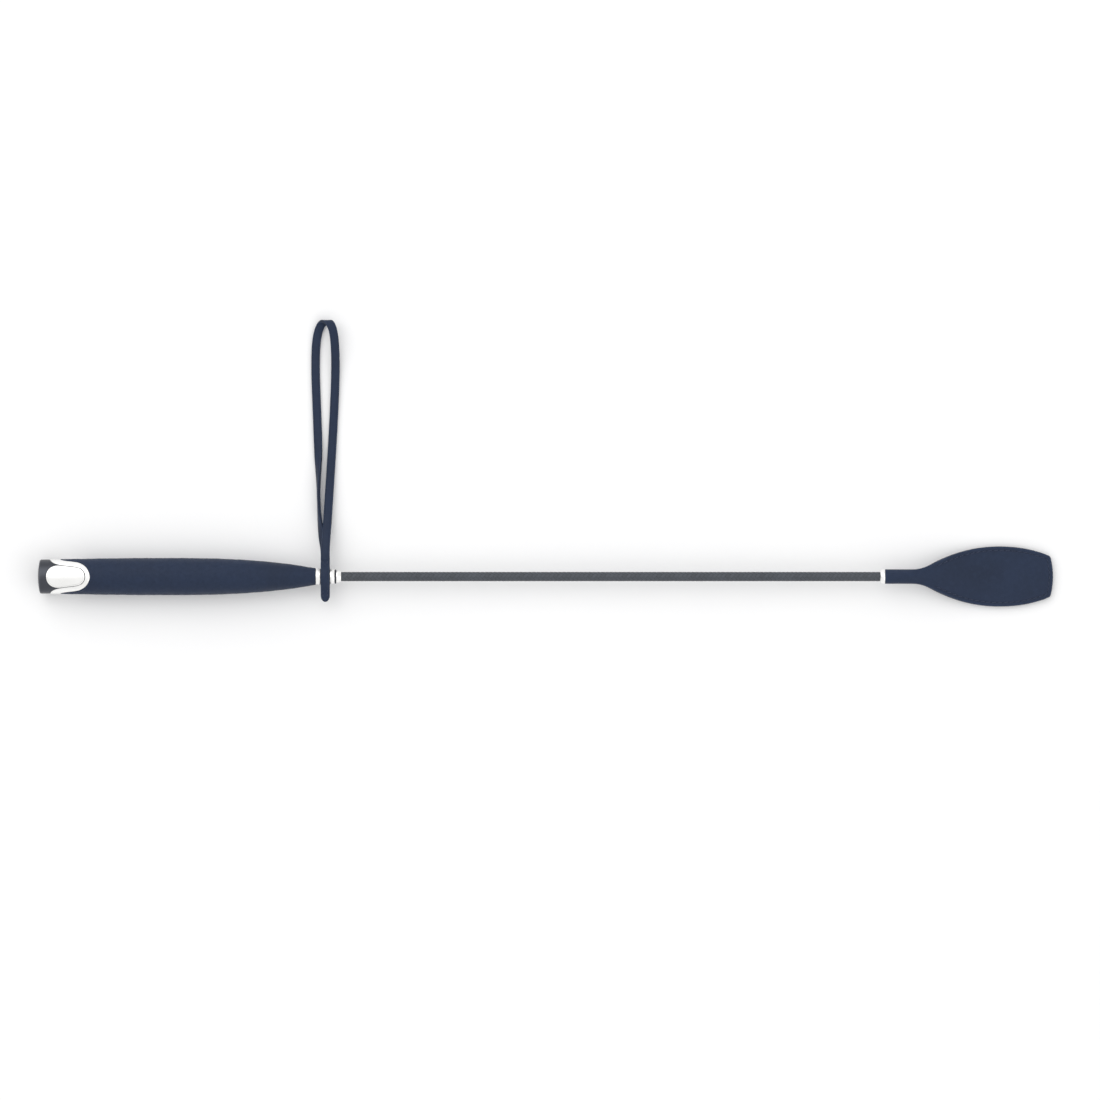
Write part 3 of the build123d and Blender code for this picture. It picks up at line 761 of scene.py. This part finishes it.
for i in range(len(xs) - 1):
    for j in range(m - 1):
        a, b, c, e = i * m + j, (i + 1) * m + j, (i + 1) * m + j + 1, i * m + j + 1
        f2.append((a, b, c, e))
        f2.append((e + N, c + N, b + N, a + N))
for j in range(m - 1):
    a, b = (len(xs) - 1) * m + j, (len(xs) - 1) * m + j + 1
    f2.append((a, a + N, b + N, b))
dd = (flat[:, 1] - seam_s + LIM) % (2 * LIM) - LIM
ee = np.clip(1 - end_d / 0.8, 0, 1) + 0.5 * np.exp(-((np.abs(dd) - 0.7) / 0.3) ** 2)
bb = 0.8 * np.exp(-(dd / 0.4) ** 2) + 0.7 * np.clip(1 - end_d / 0.3, 0, 1)
o = len(v1)
verts = np.vstack([v1, v2])
faces = f1 + [tuple(i + o for i in q) for q in f2]
grip = make("grip_leather_skin", verts, faces, M_GRIP, "crop", ["grip_cover", "handle_core"], "grip_leather", weld=0.01,
            attrs={"edge": np.r_[e1, ee, np.zeros(N)], "burnish_and_shade": np.r_[b1, bb, np.zeros(N)]})

# seam stitches: slanted threads over the butt seam
parts = []
x = -286.5
while x < -150.5:
    q = []
    for t in np.linspace(-1, 1, 9):
        s = seam_s + 1.25 * t
        xx = x + 0.65 * t
        r = float(grip_r(xx)) + 0.02 + 0.17 * (1 - t ** 4) - 0.35 * (abs(t) ** 8)
        a = s / S0
        q.append((xx, r * math.sin(a), ZA + r * math.cos(a)))
    up = (0, math.sin(SEAM), math.cos(SEAM))
    parts.append(tube_along(q, 0.27, 8, up=up))
    x += 3.1
sv, sf = join(parts)
make("grip_seam_stitches", sv, sf, M_THREAD, "crop", ["grip_stitches"], "thread")

# ------------------------------------------------------------------ neck: ferrule, washer, collar
XN = -141.43
fer = [(X_NE + 0.04, 2.95), (X_NE + 0.04, 5.15), (XN - 3.1, 5.15), (XN - 3.1, 3.7), (XN + 3.1, 3.7), (XN + 3.1, 4.85),
       (-136.9, 4.85), (-135.38, 4.55), (-135.38, 2.95)]
lathe("neck_ferrule_turned", rounded(fer, [0.02, 0.35, 0.3, 0.25, 0.25, 0.3, 0.5, 0.25, 0.02]), M_NICKEL,
      body="crop", replaces=["neck_ferrule"], slot="bright_metal")
lathe("neck_washer_ring", rounded([(-135.36, 2.95), (-135.36, 4.56), (-134.47, 4.56), (-134.47, 2.95)], [0.02, 0.32, 0.32, 0.02], 8),
      M_RUBBER, body="crop", replaces=["neck_washer"], slot="washer_rubber")
lathe("shaft_collar_turned", rounded([(-134.45, 2.62), (-134.45, 4.15), (-133.5, 4.15), (-133.35, 3.95), (-131.25, 3.28), (-131.25, 2.62)],
                                     [0.02, 0.25, 0.2, 0.1, 0.22, 0.02]), M_NICKEL,
      body="crop", replaces=["shaft_collar"], slot="bright_metal")

# ------------------------------------------------------------------ shaft: braided cover on its rod
LEAD = 22.0
XB0, XB1 = -131.9, 214.4
R_B, T_B = 2.745, 0.085
beta = math.atan(2 * math.pi * 2.75 / LEAD)
STEP = LEAD / 64
xs = np.arange(XB0, XB1 + STEP, STEP)
lobes = [(-0.82, 0.0), (-0.74, 0.075), (-0.55, 0.13), (-0.30, 0.09), (0.0, 0.15), (0.30, 0.09), (0.55, 0.13), (0.74, 0.075), (0.82, 0.0)]
bverts, bfaces, gap_shade, shade, across = [], [], [], [], []
for fam in (1, -1):
    for i in range(8):
        u = 16 * xs / LEAD * fam + i           # running number of the strand crossed
        lo_i = np.floor(u).astype(int)
        fr = u - lo_i

        def up_at(n):
            st = ((n + i) % 4) // 2
            s = np.where(st == 0, 1.0, -1.0)
            return s * fam

        h0, h1 = up_at(lo_i), up_at(lo_i + 1)
        w = 0.5 - 0.5 * np.cos(np.pi * fr)
        h = h0 * (1 - w) + h1 * w
        th_c = 2 * math.pi * i / 8 + fam * 2 * math.pi * xs / LEAD
        rr = R_B + T_B * h
        tone = rng.uniform(0, 1)
        base = len(bverts)
        K = len(lobes)
        for a in range(len(xs)):
            for (wd, ht) in lobes:
                r = rr[a] + ht
                th = th_c[a] + wd * math.cos(beta) / rr[a]
                xx = xs[a] - fam * wd * math.sin(beta)
                bverts.append((xx, r * math.sin(th), ZA + r * math.cos(th)))
                # painted shade mask: high where the strand runs under another, at its edges and in its yarn valleys
                gap_shade.append(max(0.0, min(1.0, 0.5 - 0.5 * h[a] + (0.5 if abs(wd) > 0.7 else 0.12 if abs(abs(wd) - 0.3) < 0.05 else 0.0))))
                shade.append(tone)
                across.append(wd)
        for a in range(len(xs) - 1):
            for b in range(K - 1):
                q = (base + a * K + b, base + a * K + b + 1, base + (a + 1) * K + b + 1, base + (a + 1) * K + b)
                bfaces.append(q if fam > 0 else q)
            q = (base + a * K + K - 1, base + a * K, base + (a + 1) * K, base + (a + 1) * K + K - 1)
            bfaces.append(q)
        bfaces.append(tuple(base + b for b in reversed(range(K))))
        bfaces.append(tuple(base + (len(xs) - 1) * K + b for b in range(K)))
bverts = np.array(bverts)
bverts[:, 0] = np.clip(bverts[:, 0], XB0, XB1)
make("shaft_braid_strands", bverts, bfaces, M_BRAID, "crop", ["shaft_cover"], "shaft_braid",
     attrs={"gap_shade": gap_shade, "shade": shade, "across": across})
lathe("shaft_core_bar", [(XB0, 0.0), (XB0, 2.6), (XB1, 2.6), (XB1, 0.0)], M_CORE, seg=48,
      body="crop", replaces=["core_rod"], slot="rod_fibreglass")

# ------------------------------------------------------------------ shaft tip ferrule
lathe("tip_ferrule_turned", rounded([(213.7, 2.62), (213.7, 3.7), (214.35, 4.45), (216.2, 4.62), (216.72, 4.45), (216.72, 3.3), (220.0, 3.3), (220.0, 2.62)],
                                    [0.02, 0.25, 0.3, 0.3, 0.15, 0.02, 0.02, 0.02]), M_NICKEL,
      body="crop", replaces=["tip_ferrule"], slot="bright_metal")

# ------------------------------------------------------------------ flap: leather from the sleeve to the tip, one skin
LEAF = 2.0
FS0, FS1 = 226.0, 286.0
DROP = ZA - LEAF
PHI = 2 * math.atan(DROP / (FS1 - FS0))
RB = (FS1 - FS0) / 2 / math.sin(PHI)


def mid(x):
    """height and slope angle of the flap's mid surface"""
    x = np.asarray(x, float)
    a = np.clip((x - FS0) / RB, 0, math.sin(PHI))
    b = np.clip((FS1 - x) / RB, 0, math.sin(PHI))
    first = x < (FS0 + FS1) / 2
    z = np.where(first, ZA - RB + RB * np.sqrt(1 - a ** 2), LEAF + RB - RB * np.sqrt(1 - b ** 2))
    t = np.where(first, np.arcsin(a), np.arcsin(b))
    return z, t


HALF = [(216.76, 4.64), (225.0, 4.64), (231.5, 4.64), (234.4, 4.66), (237.0, 4.8), (239.5, 5.25), (242.1, 6.01), (244.6, 7.06),
        (247.2, 8.35), (249.8, 9.73), (252.3, 10.87), (254.9, 11.94), (257.4, 13.0), (260.0, 13.95), (262.6, 14.87),
        (265.1, 15.68), (267.7, 16.38), (270.2, 17.0), (272.8, 17.57), (275.4, 18.05), (278.0, 18.45), (280.5, 18.78),
        (283.0, 19.02), (285.6, 19.18), (288.2, 19.28), (290.7, 19.32), (293.3, 19.29), (295.8, 19.19), (298.4, 19.02),
        (301.0, 18.8), (303.5, 18.5), (306.1, 18.13), (308.6, 17.65), (311.2, 17.07), (313.8, 16.41), (316.3, 15.68),
        (318.9, 14.86), (320.4, 14.3), (321.5, 13.8)]
CORNER = [(321.5, 13.8), (322.45, 13.45), (323.1, 12.9), (323.55, 12.1), (323.9, 10.9), (324.25, 9.2), (324.6, 7.0),
          (324.88, 4.6), (325.07, 2.3), (325.15, 0.0)]
hc = catmull(HALF, 0.4)
XC = 244.6


def half_w(x):
    return np.interp(x, hc[:, 0], hc[:, 1])


side = catmull([p for p in HALF if p[0] >= XC] + CORNER[1:], 0.55)
side[0] = (XC, float(half_w(XC)))
n_ring = 36                                         # points across the cut line
al = np.linspace(-math.pi / 2, math.pi / 2, n_ring + 1)
cut = np.stack([np.full(n_ring + 1, XC), np.sin(al) * half_w(XC)], axis=1)   # from -h to h
upper = side
lower = side[::-1] * (1, -1)
# counter-clockwise: lower side out to the tip, upper side back, cut line down
loop = np.vstack([lower[::-1], upper[::-1][1:], cut[::-1][1:-1]])
nseg = len(loop)
real = np.ones(nseg, bool)
n_edge = len(lower) + len(upper) - 1
real[n_edge - 1:] = False
out, tris, d = region(loop, 0.9, [0.05, 0.12, 0.22, 0.36, 0.55, 0.8, 1.15, 1.6, 2.0, 2.25, 2.45, 2.6, 2.75, 2.95, 3.2, 3.6, 4.2], real)


def plate_t(x, dd_):
    e = np.clip(dd_ / 0.95, 0, 1)
    t = LEAF * (1 - (1 - e) ** 2.4) ** (1 / 2.4)
    t = t - 0.20 * np.exp(-((dd_ - 2.6) / 0.28) ** 2) * smooth01((x - 247.5) / 2.5)
    t = t - 0.05 * smooth01((dd_ - 2.6) / 1.0)
    return t


sec_t = plate_t(out[:, 0], d)
puff = 0.03 * np.sin(out[:, 0] * 0.27 + 1.0) * np.cos(out[:, 1] * 0.21) + 0.02 * np.sin(out[:, 0] * 0.7 + out[:, 1] * 0.5)
z0, t0 = mid(out[:, 0])
soft = smooth01((out[:, 0] - XC) / 4) * smooth01((d - 0.5) / 2)
fade = smooth01((out[:, 0] - XC - 0.01) / 3)
up_t = sec_t + puff * soft
dn_t = sec_t - np.abs(puff) * soft


def plate(t, sgn):
    return np.stack([out[:, 0] + sgn * t * np.sin(t0) * fade, out[:, 1], z0 + sgn * t * np.where(fade > 0, 1 - (1 - np.cos(t0)) * fade, 1.0)], axis=1)


top, bot = plate(up_t, 1), plate(dn_t, -1)
# glue line between the leaves: the outermost ring is drawn in
on_edge = d < 1e-6
a_, b_ = loop[real], np.roll(loop, -1, axis=0)[real]
dist, idx = seg_dist(a_, b_, out[on_edge])
tt = b_[idx] - a_[idx]
tt /= np.linalg.norm(tt, axis=1)[:, None]
inn = np.stack([-tt[:, 1], tt[:, 0]], axis=1)
draw = 0.04 * smooth01((out[on_edge][:, 0] - 236) / 7.0)
corner_fix = np.abs(out[on_edge][:, 0] - XC) < 1e-4
inn[corner_fix] = np.stack([np.zeros(corner_fix.sum()), -np.sign(out[on_edge][corner_fix][:, 1])], axis=1)
for arr in (top, bot):
    arr[on_edge, 0] += inn[:, 0] * draw
    arr[on_edge, 1] += inn[:, 1] * draw
nn = len(out)
fv = np.vstack([top, bot])
ff = [tuple(q) for q in tris] + [tuple(i + nn for i in reversed(q)) for q in tris]
edge_a = np.clip(1 - np.abs(d - 0.55) / 0.6, 0, 1)
burn_a = np.clip(1 - d / 0.3, 0, 1) + 0.55 * np.exp(-((d - 2.6) / 0.3) ** 2) * (out[:, 0] > 248)
edge_all, burn_all = list(np.r_[edge_a, edge_a]), list(np.r_[burn_a, burn_a])

# sleeve rings: round on the shaft, flattening into the cut line's section
cut_y = np.sin(al) * half_w(XC)
dcut, _ = seg_dist(a_, b_, np.stack([np.full(n_ring + 1, XC), cut_y], axis=1))
tcut = plate_t(np.full(n_ring + 1, XC), dcut)
xs = np.concatenate([216.76 + np.array([0.0, 0.06, 0.16, 0.3, 0.5, 0.8]), np.arange(218.2, XC - 0.3, 0.7), [XC]])
SEAM2 = math.radians(-125)
ring_n = 2 * n_ring
rv, re, rbn = [], [], []
for x in xs:
    w = float(smooth01((x - 229.0) / (XC - 229.0)))
    h = float(half_w(x))
    z_m, t_m = mid(x)
    rr = 4.64 + (3.3 - 4.64) * w                    # round part flattens too
    lip = 0.35 * (1 - math.sqrt(max(0, 1 - (1 - min((x - 216.76) / 0.6, 1)) ** 2)))
    dr = 0.04 * float(smooth01((x - 236) / 7.0))
    for j in range(ring_n):
        if j <= n_ring:
            a, sg, jj = al[j], 1, j
        else:
            a, sg, jj = al[2 * n_ring - j], -1, 2 * n_ring - j
        y = math.sin(a)
        round_t = rr * math.cos(a)
        t = round_t * (1 - w) + float(tcut[jj]) * w
        yy = y * h
        if jj in (0, n_ring):
            yy -= math.copysign(dr, yy)
            t = 0.0
        ang = math.atan2(yy, sg * t)
        da = (ang - SEAM2 + math.pi) % (2 * math.pi) - math.pi
        groove = 0.3 * math.exp(-(da * 4.4 / 0.35) ** 2) * float(smooth01((235 - x) / 3)) * (1 if x > 217.5 else 0)
        k = 1 - (lip + groove) / 4.64
        rv.append((float(x), yy * k, float(z_m) + sg * t * k))
        re.append(0.5 * float(x < 217.6) + (0.45 if jj in (1, n_ring - 1) and x > 238 else 0))
        rbn.append(0.8 * math.exp(-(da * 4.4 / 0.4) ** 2) * float(x < 234) + (0.8 * w if jj in (0, n_ring) else 0) + (0.6 if x < 216.9 else 0))
rf = []
for i in range(len(xs) - 1):
    for j in range(ring_n):
        l = (j + 1) % ring_n
        rf.append((i * ring_n + j, i * ring_n + l, (i + 1) * ring_n + l, (i + 1) * ring_n + j))
rf.append(tuple(reversed(range(ring_n))))
o = len(fv)
verts = np.vstack([fv, np.array(rv)])
faces = ff + [tuple(i + o for i in q) for q in rf]
flap = make("flap_leather_skin", verts, faces, M_FLAP, None, ["keeper_sleeve", "flap_upper", "flap_lower", "flap_insert", "tip_whipping", "rod_tip_cap"],
            "flap_leather", weld=0.02, attrs={"edge": edge_all + re, "burnish_and_shade": burn_all + rbn})
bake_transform(flap)

# flap stitches, both faces
full = np.vstack([lower[::-1], upper[::-1][1:]])
tq = np.gradient(full, axis=0)
tq /= np.linalg.norm(tq, axis=1)[:, None]
inset = full + np.stack([-tq[:, 1], tq[:, 0]], axis=1) * 2.6
dchk, _ = seg_dist(full[:-1], full[1:], inset)
inset = inset[(dchk > 2.5) & (inset[:, 0] > 248.5)]
inset = resample(inset, 0.2)
parts = []
i = 4
while i + 16 < len(inset):
    seg = inset[i:i + 15]
    tg = seg[-1] - seg[0]
    tg /= np.linalg.norm(tg)
    nv = np.array([-tg[1], tg[0]])
    for sgn in (1, -1):
        q = []
        for t, p in zip(np.linspace(-1, 1, 9), seg[np.linspace(0, 14, 9).astype(int)]):
            pp = p + nv * 0.16 * t * sgn
            z_m, t_m = mid(pp[0])
            tt_ = LEAF - (0.16 if sgn > 0 else 0.425) + 0.17 * (1 - t ** 4) - 0.3 * abs(t) ** 10
            q.append((pp[0] + sgn * tt_ * math.sin(t_m), pp[1], float(z_m) + sgn * tt_ * math.cos(t_m)))
        parts.append(tube_along(q, 0.25, 8))
    i += 19
sv, sf = join(parts)
fst = make("flap_edge_stitches", sv, sf, M_THREAD, None, ["flap_stitches"], "thread")
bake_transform(fst)
parts = []
x = 218.6
while x < 231:
    q = []
    for t in np.linspace(-1, 1, 9):
        a = SEAM2 + 1.0 * t / 4.64
        r = 4.64 + 0.02 + 0.14 * (1 - t ** 4) - 0.3 * abs(t) ** 8
        q.append((x + 0.5 * t, r * math.sin(a), ZA + r * math.cos(a)))
    parts.append(tube_along(q, 0.22, 8, up=(0, math.sin(SEAM2), math.cos(SEAM2))))
    x += 2.3
sv, sf = join(parts)
make("sleeve_seam_stitches", sv, sf, M_THREAD, "crop", ["sleeve_stitches"], "thread")

# ------------------------------------------------------------------ wrist loop
# cross-section of the strap: (across, through), crease lines near both edges
SEC = []
for w_, t_ in [(-2.9, 0.0), (-2.86, 0.42), (-2.68, 0.78), (-2.4, 0.96), (-2.15, 0.99), (-2.02, 0.90), (-1.9, 0.90), (-1.75, 0.99),
               (-0.9, 1.03), (0.0, 1.04), (0.9, 1.03), (1.75, 0.99), (1.9, 0.90), (2.02, 0.90), (2.15, 0.99), (2.4, 0.96),
               (2.68, 0.78), (2.86, 0.42)]:
    SEC.append((w_, t_))
SEC = SEC + [(2.9, 0.0)] + [(-w_, -t_) for w_, t_ in SEC[1:]]
SEC = np.array(SEC)


def ribbon(name, line, body, mat, scale_w=None, wave=0.0, twist=None, ends=None, **kw):
    p = np.asarray(line, float)
    t = np.gradient(p, axis=0)
    if ends is not None:
        t[0], t[-1] = ends
    t /= np.linalg.norm(t, axis=1)[:, None]
    m_, K = len(p), len(SEC)
    s = np.r_[0, np.cumsum(np.linalg.norm(np.diff(p, axis=0), axis=1))]
    verts, faces, ed, bu = [], [], [], []
    X = np.array([1.0, 0, 0])
    for i in range(m_):
        wv = X - (X @ t[i]) * t[i]
        wv /= np.linalg.norm(wv)
        nv = np.cross(t[i], wv)
        if twist is not None:
            ct, st = math.cos(twist[i]), math.sin(twist[i])
            wv, nv = ct * wv + st * nv, ct * nv - st * wv
        sc = 1.0 if scale_w is None else scale_w[i]
        for (a, b) in SEC:
            bb_ = b * (1 + wave * math.sin(s[i] * 0.9 + a))
            verts.append(p[i] + wv * a * sc + nv * bb_ * (0.75 + 0.25 * min(1.0, sc * 2)))
            ed.append(1.0 if 2.35 < abs(a) < 2.8 else 0.0)
            bu.append(0.9 if abs(a) > 2.85 else (0.7 if 1.85 < abs(a) < 2.08 else 0.0))
    for i in range(m_ - 1):
        for k_ in range(K):
            l = (k_ + 1) % K
            faces.append((i * K + k_, i * K + l, (i + 1) * K + l, (i + 1) * K + k_))
    faces.append(tuple(range(K)))
    faces.append(tuple(reversed([(m_ - 1) * K + k_ for k_ in range(K)])))
    ob = make(name, verts, faces, mat, body, attrs={"edge": ed, "burnish_and_shade": bu}, weld=0.0002, **kw)
    return ob


# free strap: control points of its line, in metres, from the front ply to the back ply
ROUTE = [(-0.14143, 0.0104, 0.01295), (-0.14143, 0.0168, 0.01295), (-0.14090, 0.0252, 0.00960), (-0.14030, 0.0352, 0.00500),
         (-0.13940, 0.0500, 0.00370), (-0.13810, 0.0710, 0.00190), (-0.13630, 0.1020, 0.00125), (-0.13510, 0.1320, 0.00220),
         (-0.13535, 0.1495, 0.00660), (-0.13660, 0.1588, 0.01010), (-0.13915, 0.1634, 0.00860), (-0.14290, 0.1634, 0.00330),
         (-0.14610, 0.1588, 0.00140), (-0.14790, 0.1490, 0.00125), (-0.14815, 0.1305, 0.00110), (-0.14700, 0.1020, 0.00125),
         (-0.14630, 0.0840, 0.00210), (-0.14610, 0.0680, 0.00305), (-0.14605, 0.0500, 0.00300), (-0.14540, 0.0365, 0.00350),
         (-0.14380, 0.0265, 0.00620), (-0.14143, 0.0176, 0.01091), (-0.14143, 0.0104, 0.01091)]
cu = bpy.data.curves.new("strap_line", "CURVE")
cu.dimensions = "3D"
sp = cu.splines.new("NURBS")
sp.points.add(len(ROUTE) - 1)
for pt, co in zip(sp.points, ROUTE):
    pt.co = (*co, 1.0)
sp.order_u = 3
sp.use_endpoint_u = True
sp.resolution_u = 24
cob = bpy.data.objects.new("strap_line", cu)
bpy.context.scene.collection.objects.link(cob)
bpy.context.view_layer.update()
lm = bpy.data.meshes.new_from_object(cob)
line = np.array([v_.co[:] for v_ in lm.vertices]) / MM
bpy.data.objects.remove(cob)
keep = np.r_[True, np.linalg.norm(np.diff(line, axis=0), axis=1) > 1e-4]
line = line[keep]
dense = resample(line, 0.8)
# the back strand rolls onto its edge on the way down to the neck, then lies flat again
back = np.arange(len(dense)) > int(dense[:, 1].argmax())
roll_at = np.interp(dense[:, 1], [10, 17.6, 22, 30, 42, 52, 62, 71, 81, 95, 200], [0, 0, 22, 62, 84, 84, 74, 52, 22, 0, 0])
roll_at = np.convolve(np.pad(np.where(back, roll_at, 0.0), 6, mode="edge"), np.ones(13) / 13, mode="valid")
narrow = 0.95 + 0.05 * smooth01((30 - dense[:, 1]) / 18)
strap = ribbon("wrist_strap", dense, "wrist_loop", M_STRAP, scale_w=narrow, twist=np.radians(roll_at), ends=((0, 1, 0), (0, -1, 0)), replaces=["loop_strap"], slot="strap_leather")

# strap ends: front and back ply round the neck, stitched together on both sides
Y_TAIL, Y_LOOP = -16.22, 10.4
PLY = [(-16.2, 1.02), (-14.0, 1.02), (-11.6, 1.02), (-9.6, 1.12), (-7.9, 1.62), (-6.4, 2.6), (-4.7, 3.85), (-2.5, 4.75), (0.0, 5.03),
       (2.5, 4.75), (4.5, 3.8), (6.0, 2.5), (7.2, 1.6), (8.5, 1.1), (9.6, 1.02), (Y_LOOP, 1.02)]
pl = catmull(PLY, 0.35)
ys = pl[:, 0]
tail = np.where(ys < Y_TAIL + 4.1, np.sqrt(np.clip(1 - ((ys - (Y_TAIL + 4.1)) / 4.12) ** 2, 0.003, 1)), 1.0)
for sgn, nm, node in ((1, "strap_end_front", "loop_end_front"), (-1, "strap_end_back", "loop_end_back")):
    p = np.stack([np.full(len(pl), XN), pl[:, 0], ZA + sgn * pl[:, 1]], axis=1)
    ribbon(nm, p, "wrist_loop", M_STRAP, scale_w=tail, replaces=[node], slot="strap_leather")
parts = []
for y0, y1 in ((-13.0, -11.0), (-10.4, -8.6), (8.2, 10.0)):
    for dx in (-1.35, 1.35):
        for sgn in (1, -1):
            q = []
            for t in np.linspace(-1, 1, 9):
                y = (y0 + y1) / 2 + (y1 - y0) / 2 * t
                z = float(np.interp(y, pl[:, 0], pl[:, 1])) + 0.98 + 0.16 * (1 - t ** 4) - 0.3 * abs(t) ** 8
                q.append((XN + dx + 0.12 * t, y, ZA + sgn * z))
            parts.append(tube_along(q, 0.22, 8))
sv, sf = join(parts)
make("strap_end_stitches", sv, sf, M_THREAD, "wrist_loop", ["loop_stitches"], "thread")

# ------------------------------------------------------------------ stage, lights, camera
me = bpy.data.meshes.new("floor")
S = 6.0
me.from_pydata([(-S, -S, -0.00005), (S, -S, -0.00005), (S, S, -0.00005), (-S, S, -0.00005)], [], [(0, 1, 2, 3)])
me.materials.append(floor_mat())
fl = bpy.data.objects.new("floor", me)
bpy.context.scene.collection.objects.link(fl)

world = bpy.data.worlds.new("studio")
bpy.context.scene.world = world
world.use_nodes = True
bg = world.node_tree.nodes["Background"]
bg.inputs["Color"].default_value = (1.0, 1.0, 1.0, 1)
bg.inputs["Strength"].default_value = 0.92


def area(name, loc, target, size, power, col=(1, 1, 1)):
    li = bpy.data.lights.new(name, "AREA")
    li.shape = "RECTANGLE"
    li.size, li.size_y = size
    li.energy = power
    li.color = col
    ob = bpy.data.objects.new(name, li)
    ob.location = loc
    dirv = Vector(target) - Vector(loc)
    ob.rotation_euler = dirv.to_track_quat("-Z", "Y").to_euler()
    bpy.context.scene.collection.objects.link(ob)
    return ob


area("key", (-1.1, 1.5, 2.2), (0, 0, 0), (3.0, 3.0), 30)
area("fill", (1.6, -1.2, 1.8), (0, 0, 0), (2.4, 2.0), 10)

cam = bpy.data.cameras.new("camera")
cam.lens = 200
cam.sensor_width = 36
co = bpy.data.objects.new("camera", cam)
co.location = (0.0024, 0.0170, 0.0119 + 0.704 * 200 / 36)
co.rotation_euler = (0, 0, 0)
bpy.context.scene.collection.objects.link(co)
bpy.context.scene.camera = co
bpy.context.scene.view_settings.view_transform = "Standard"
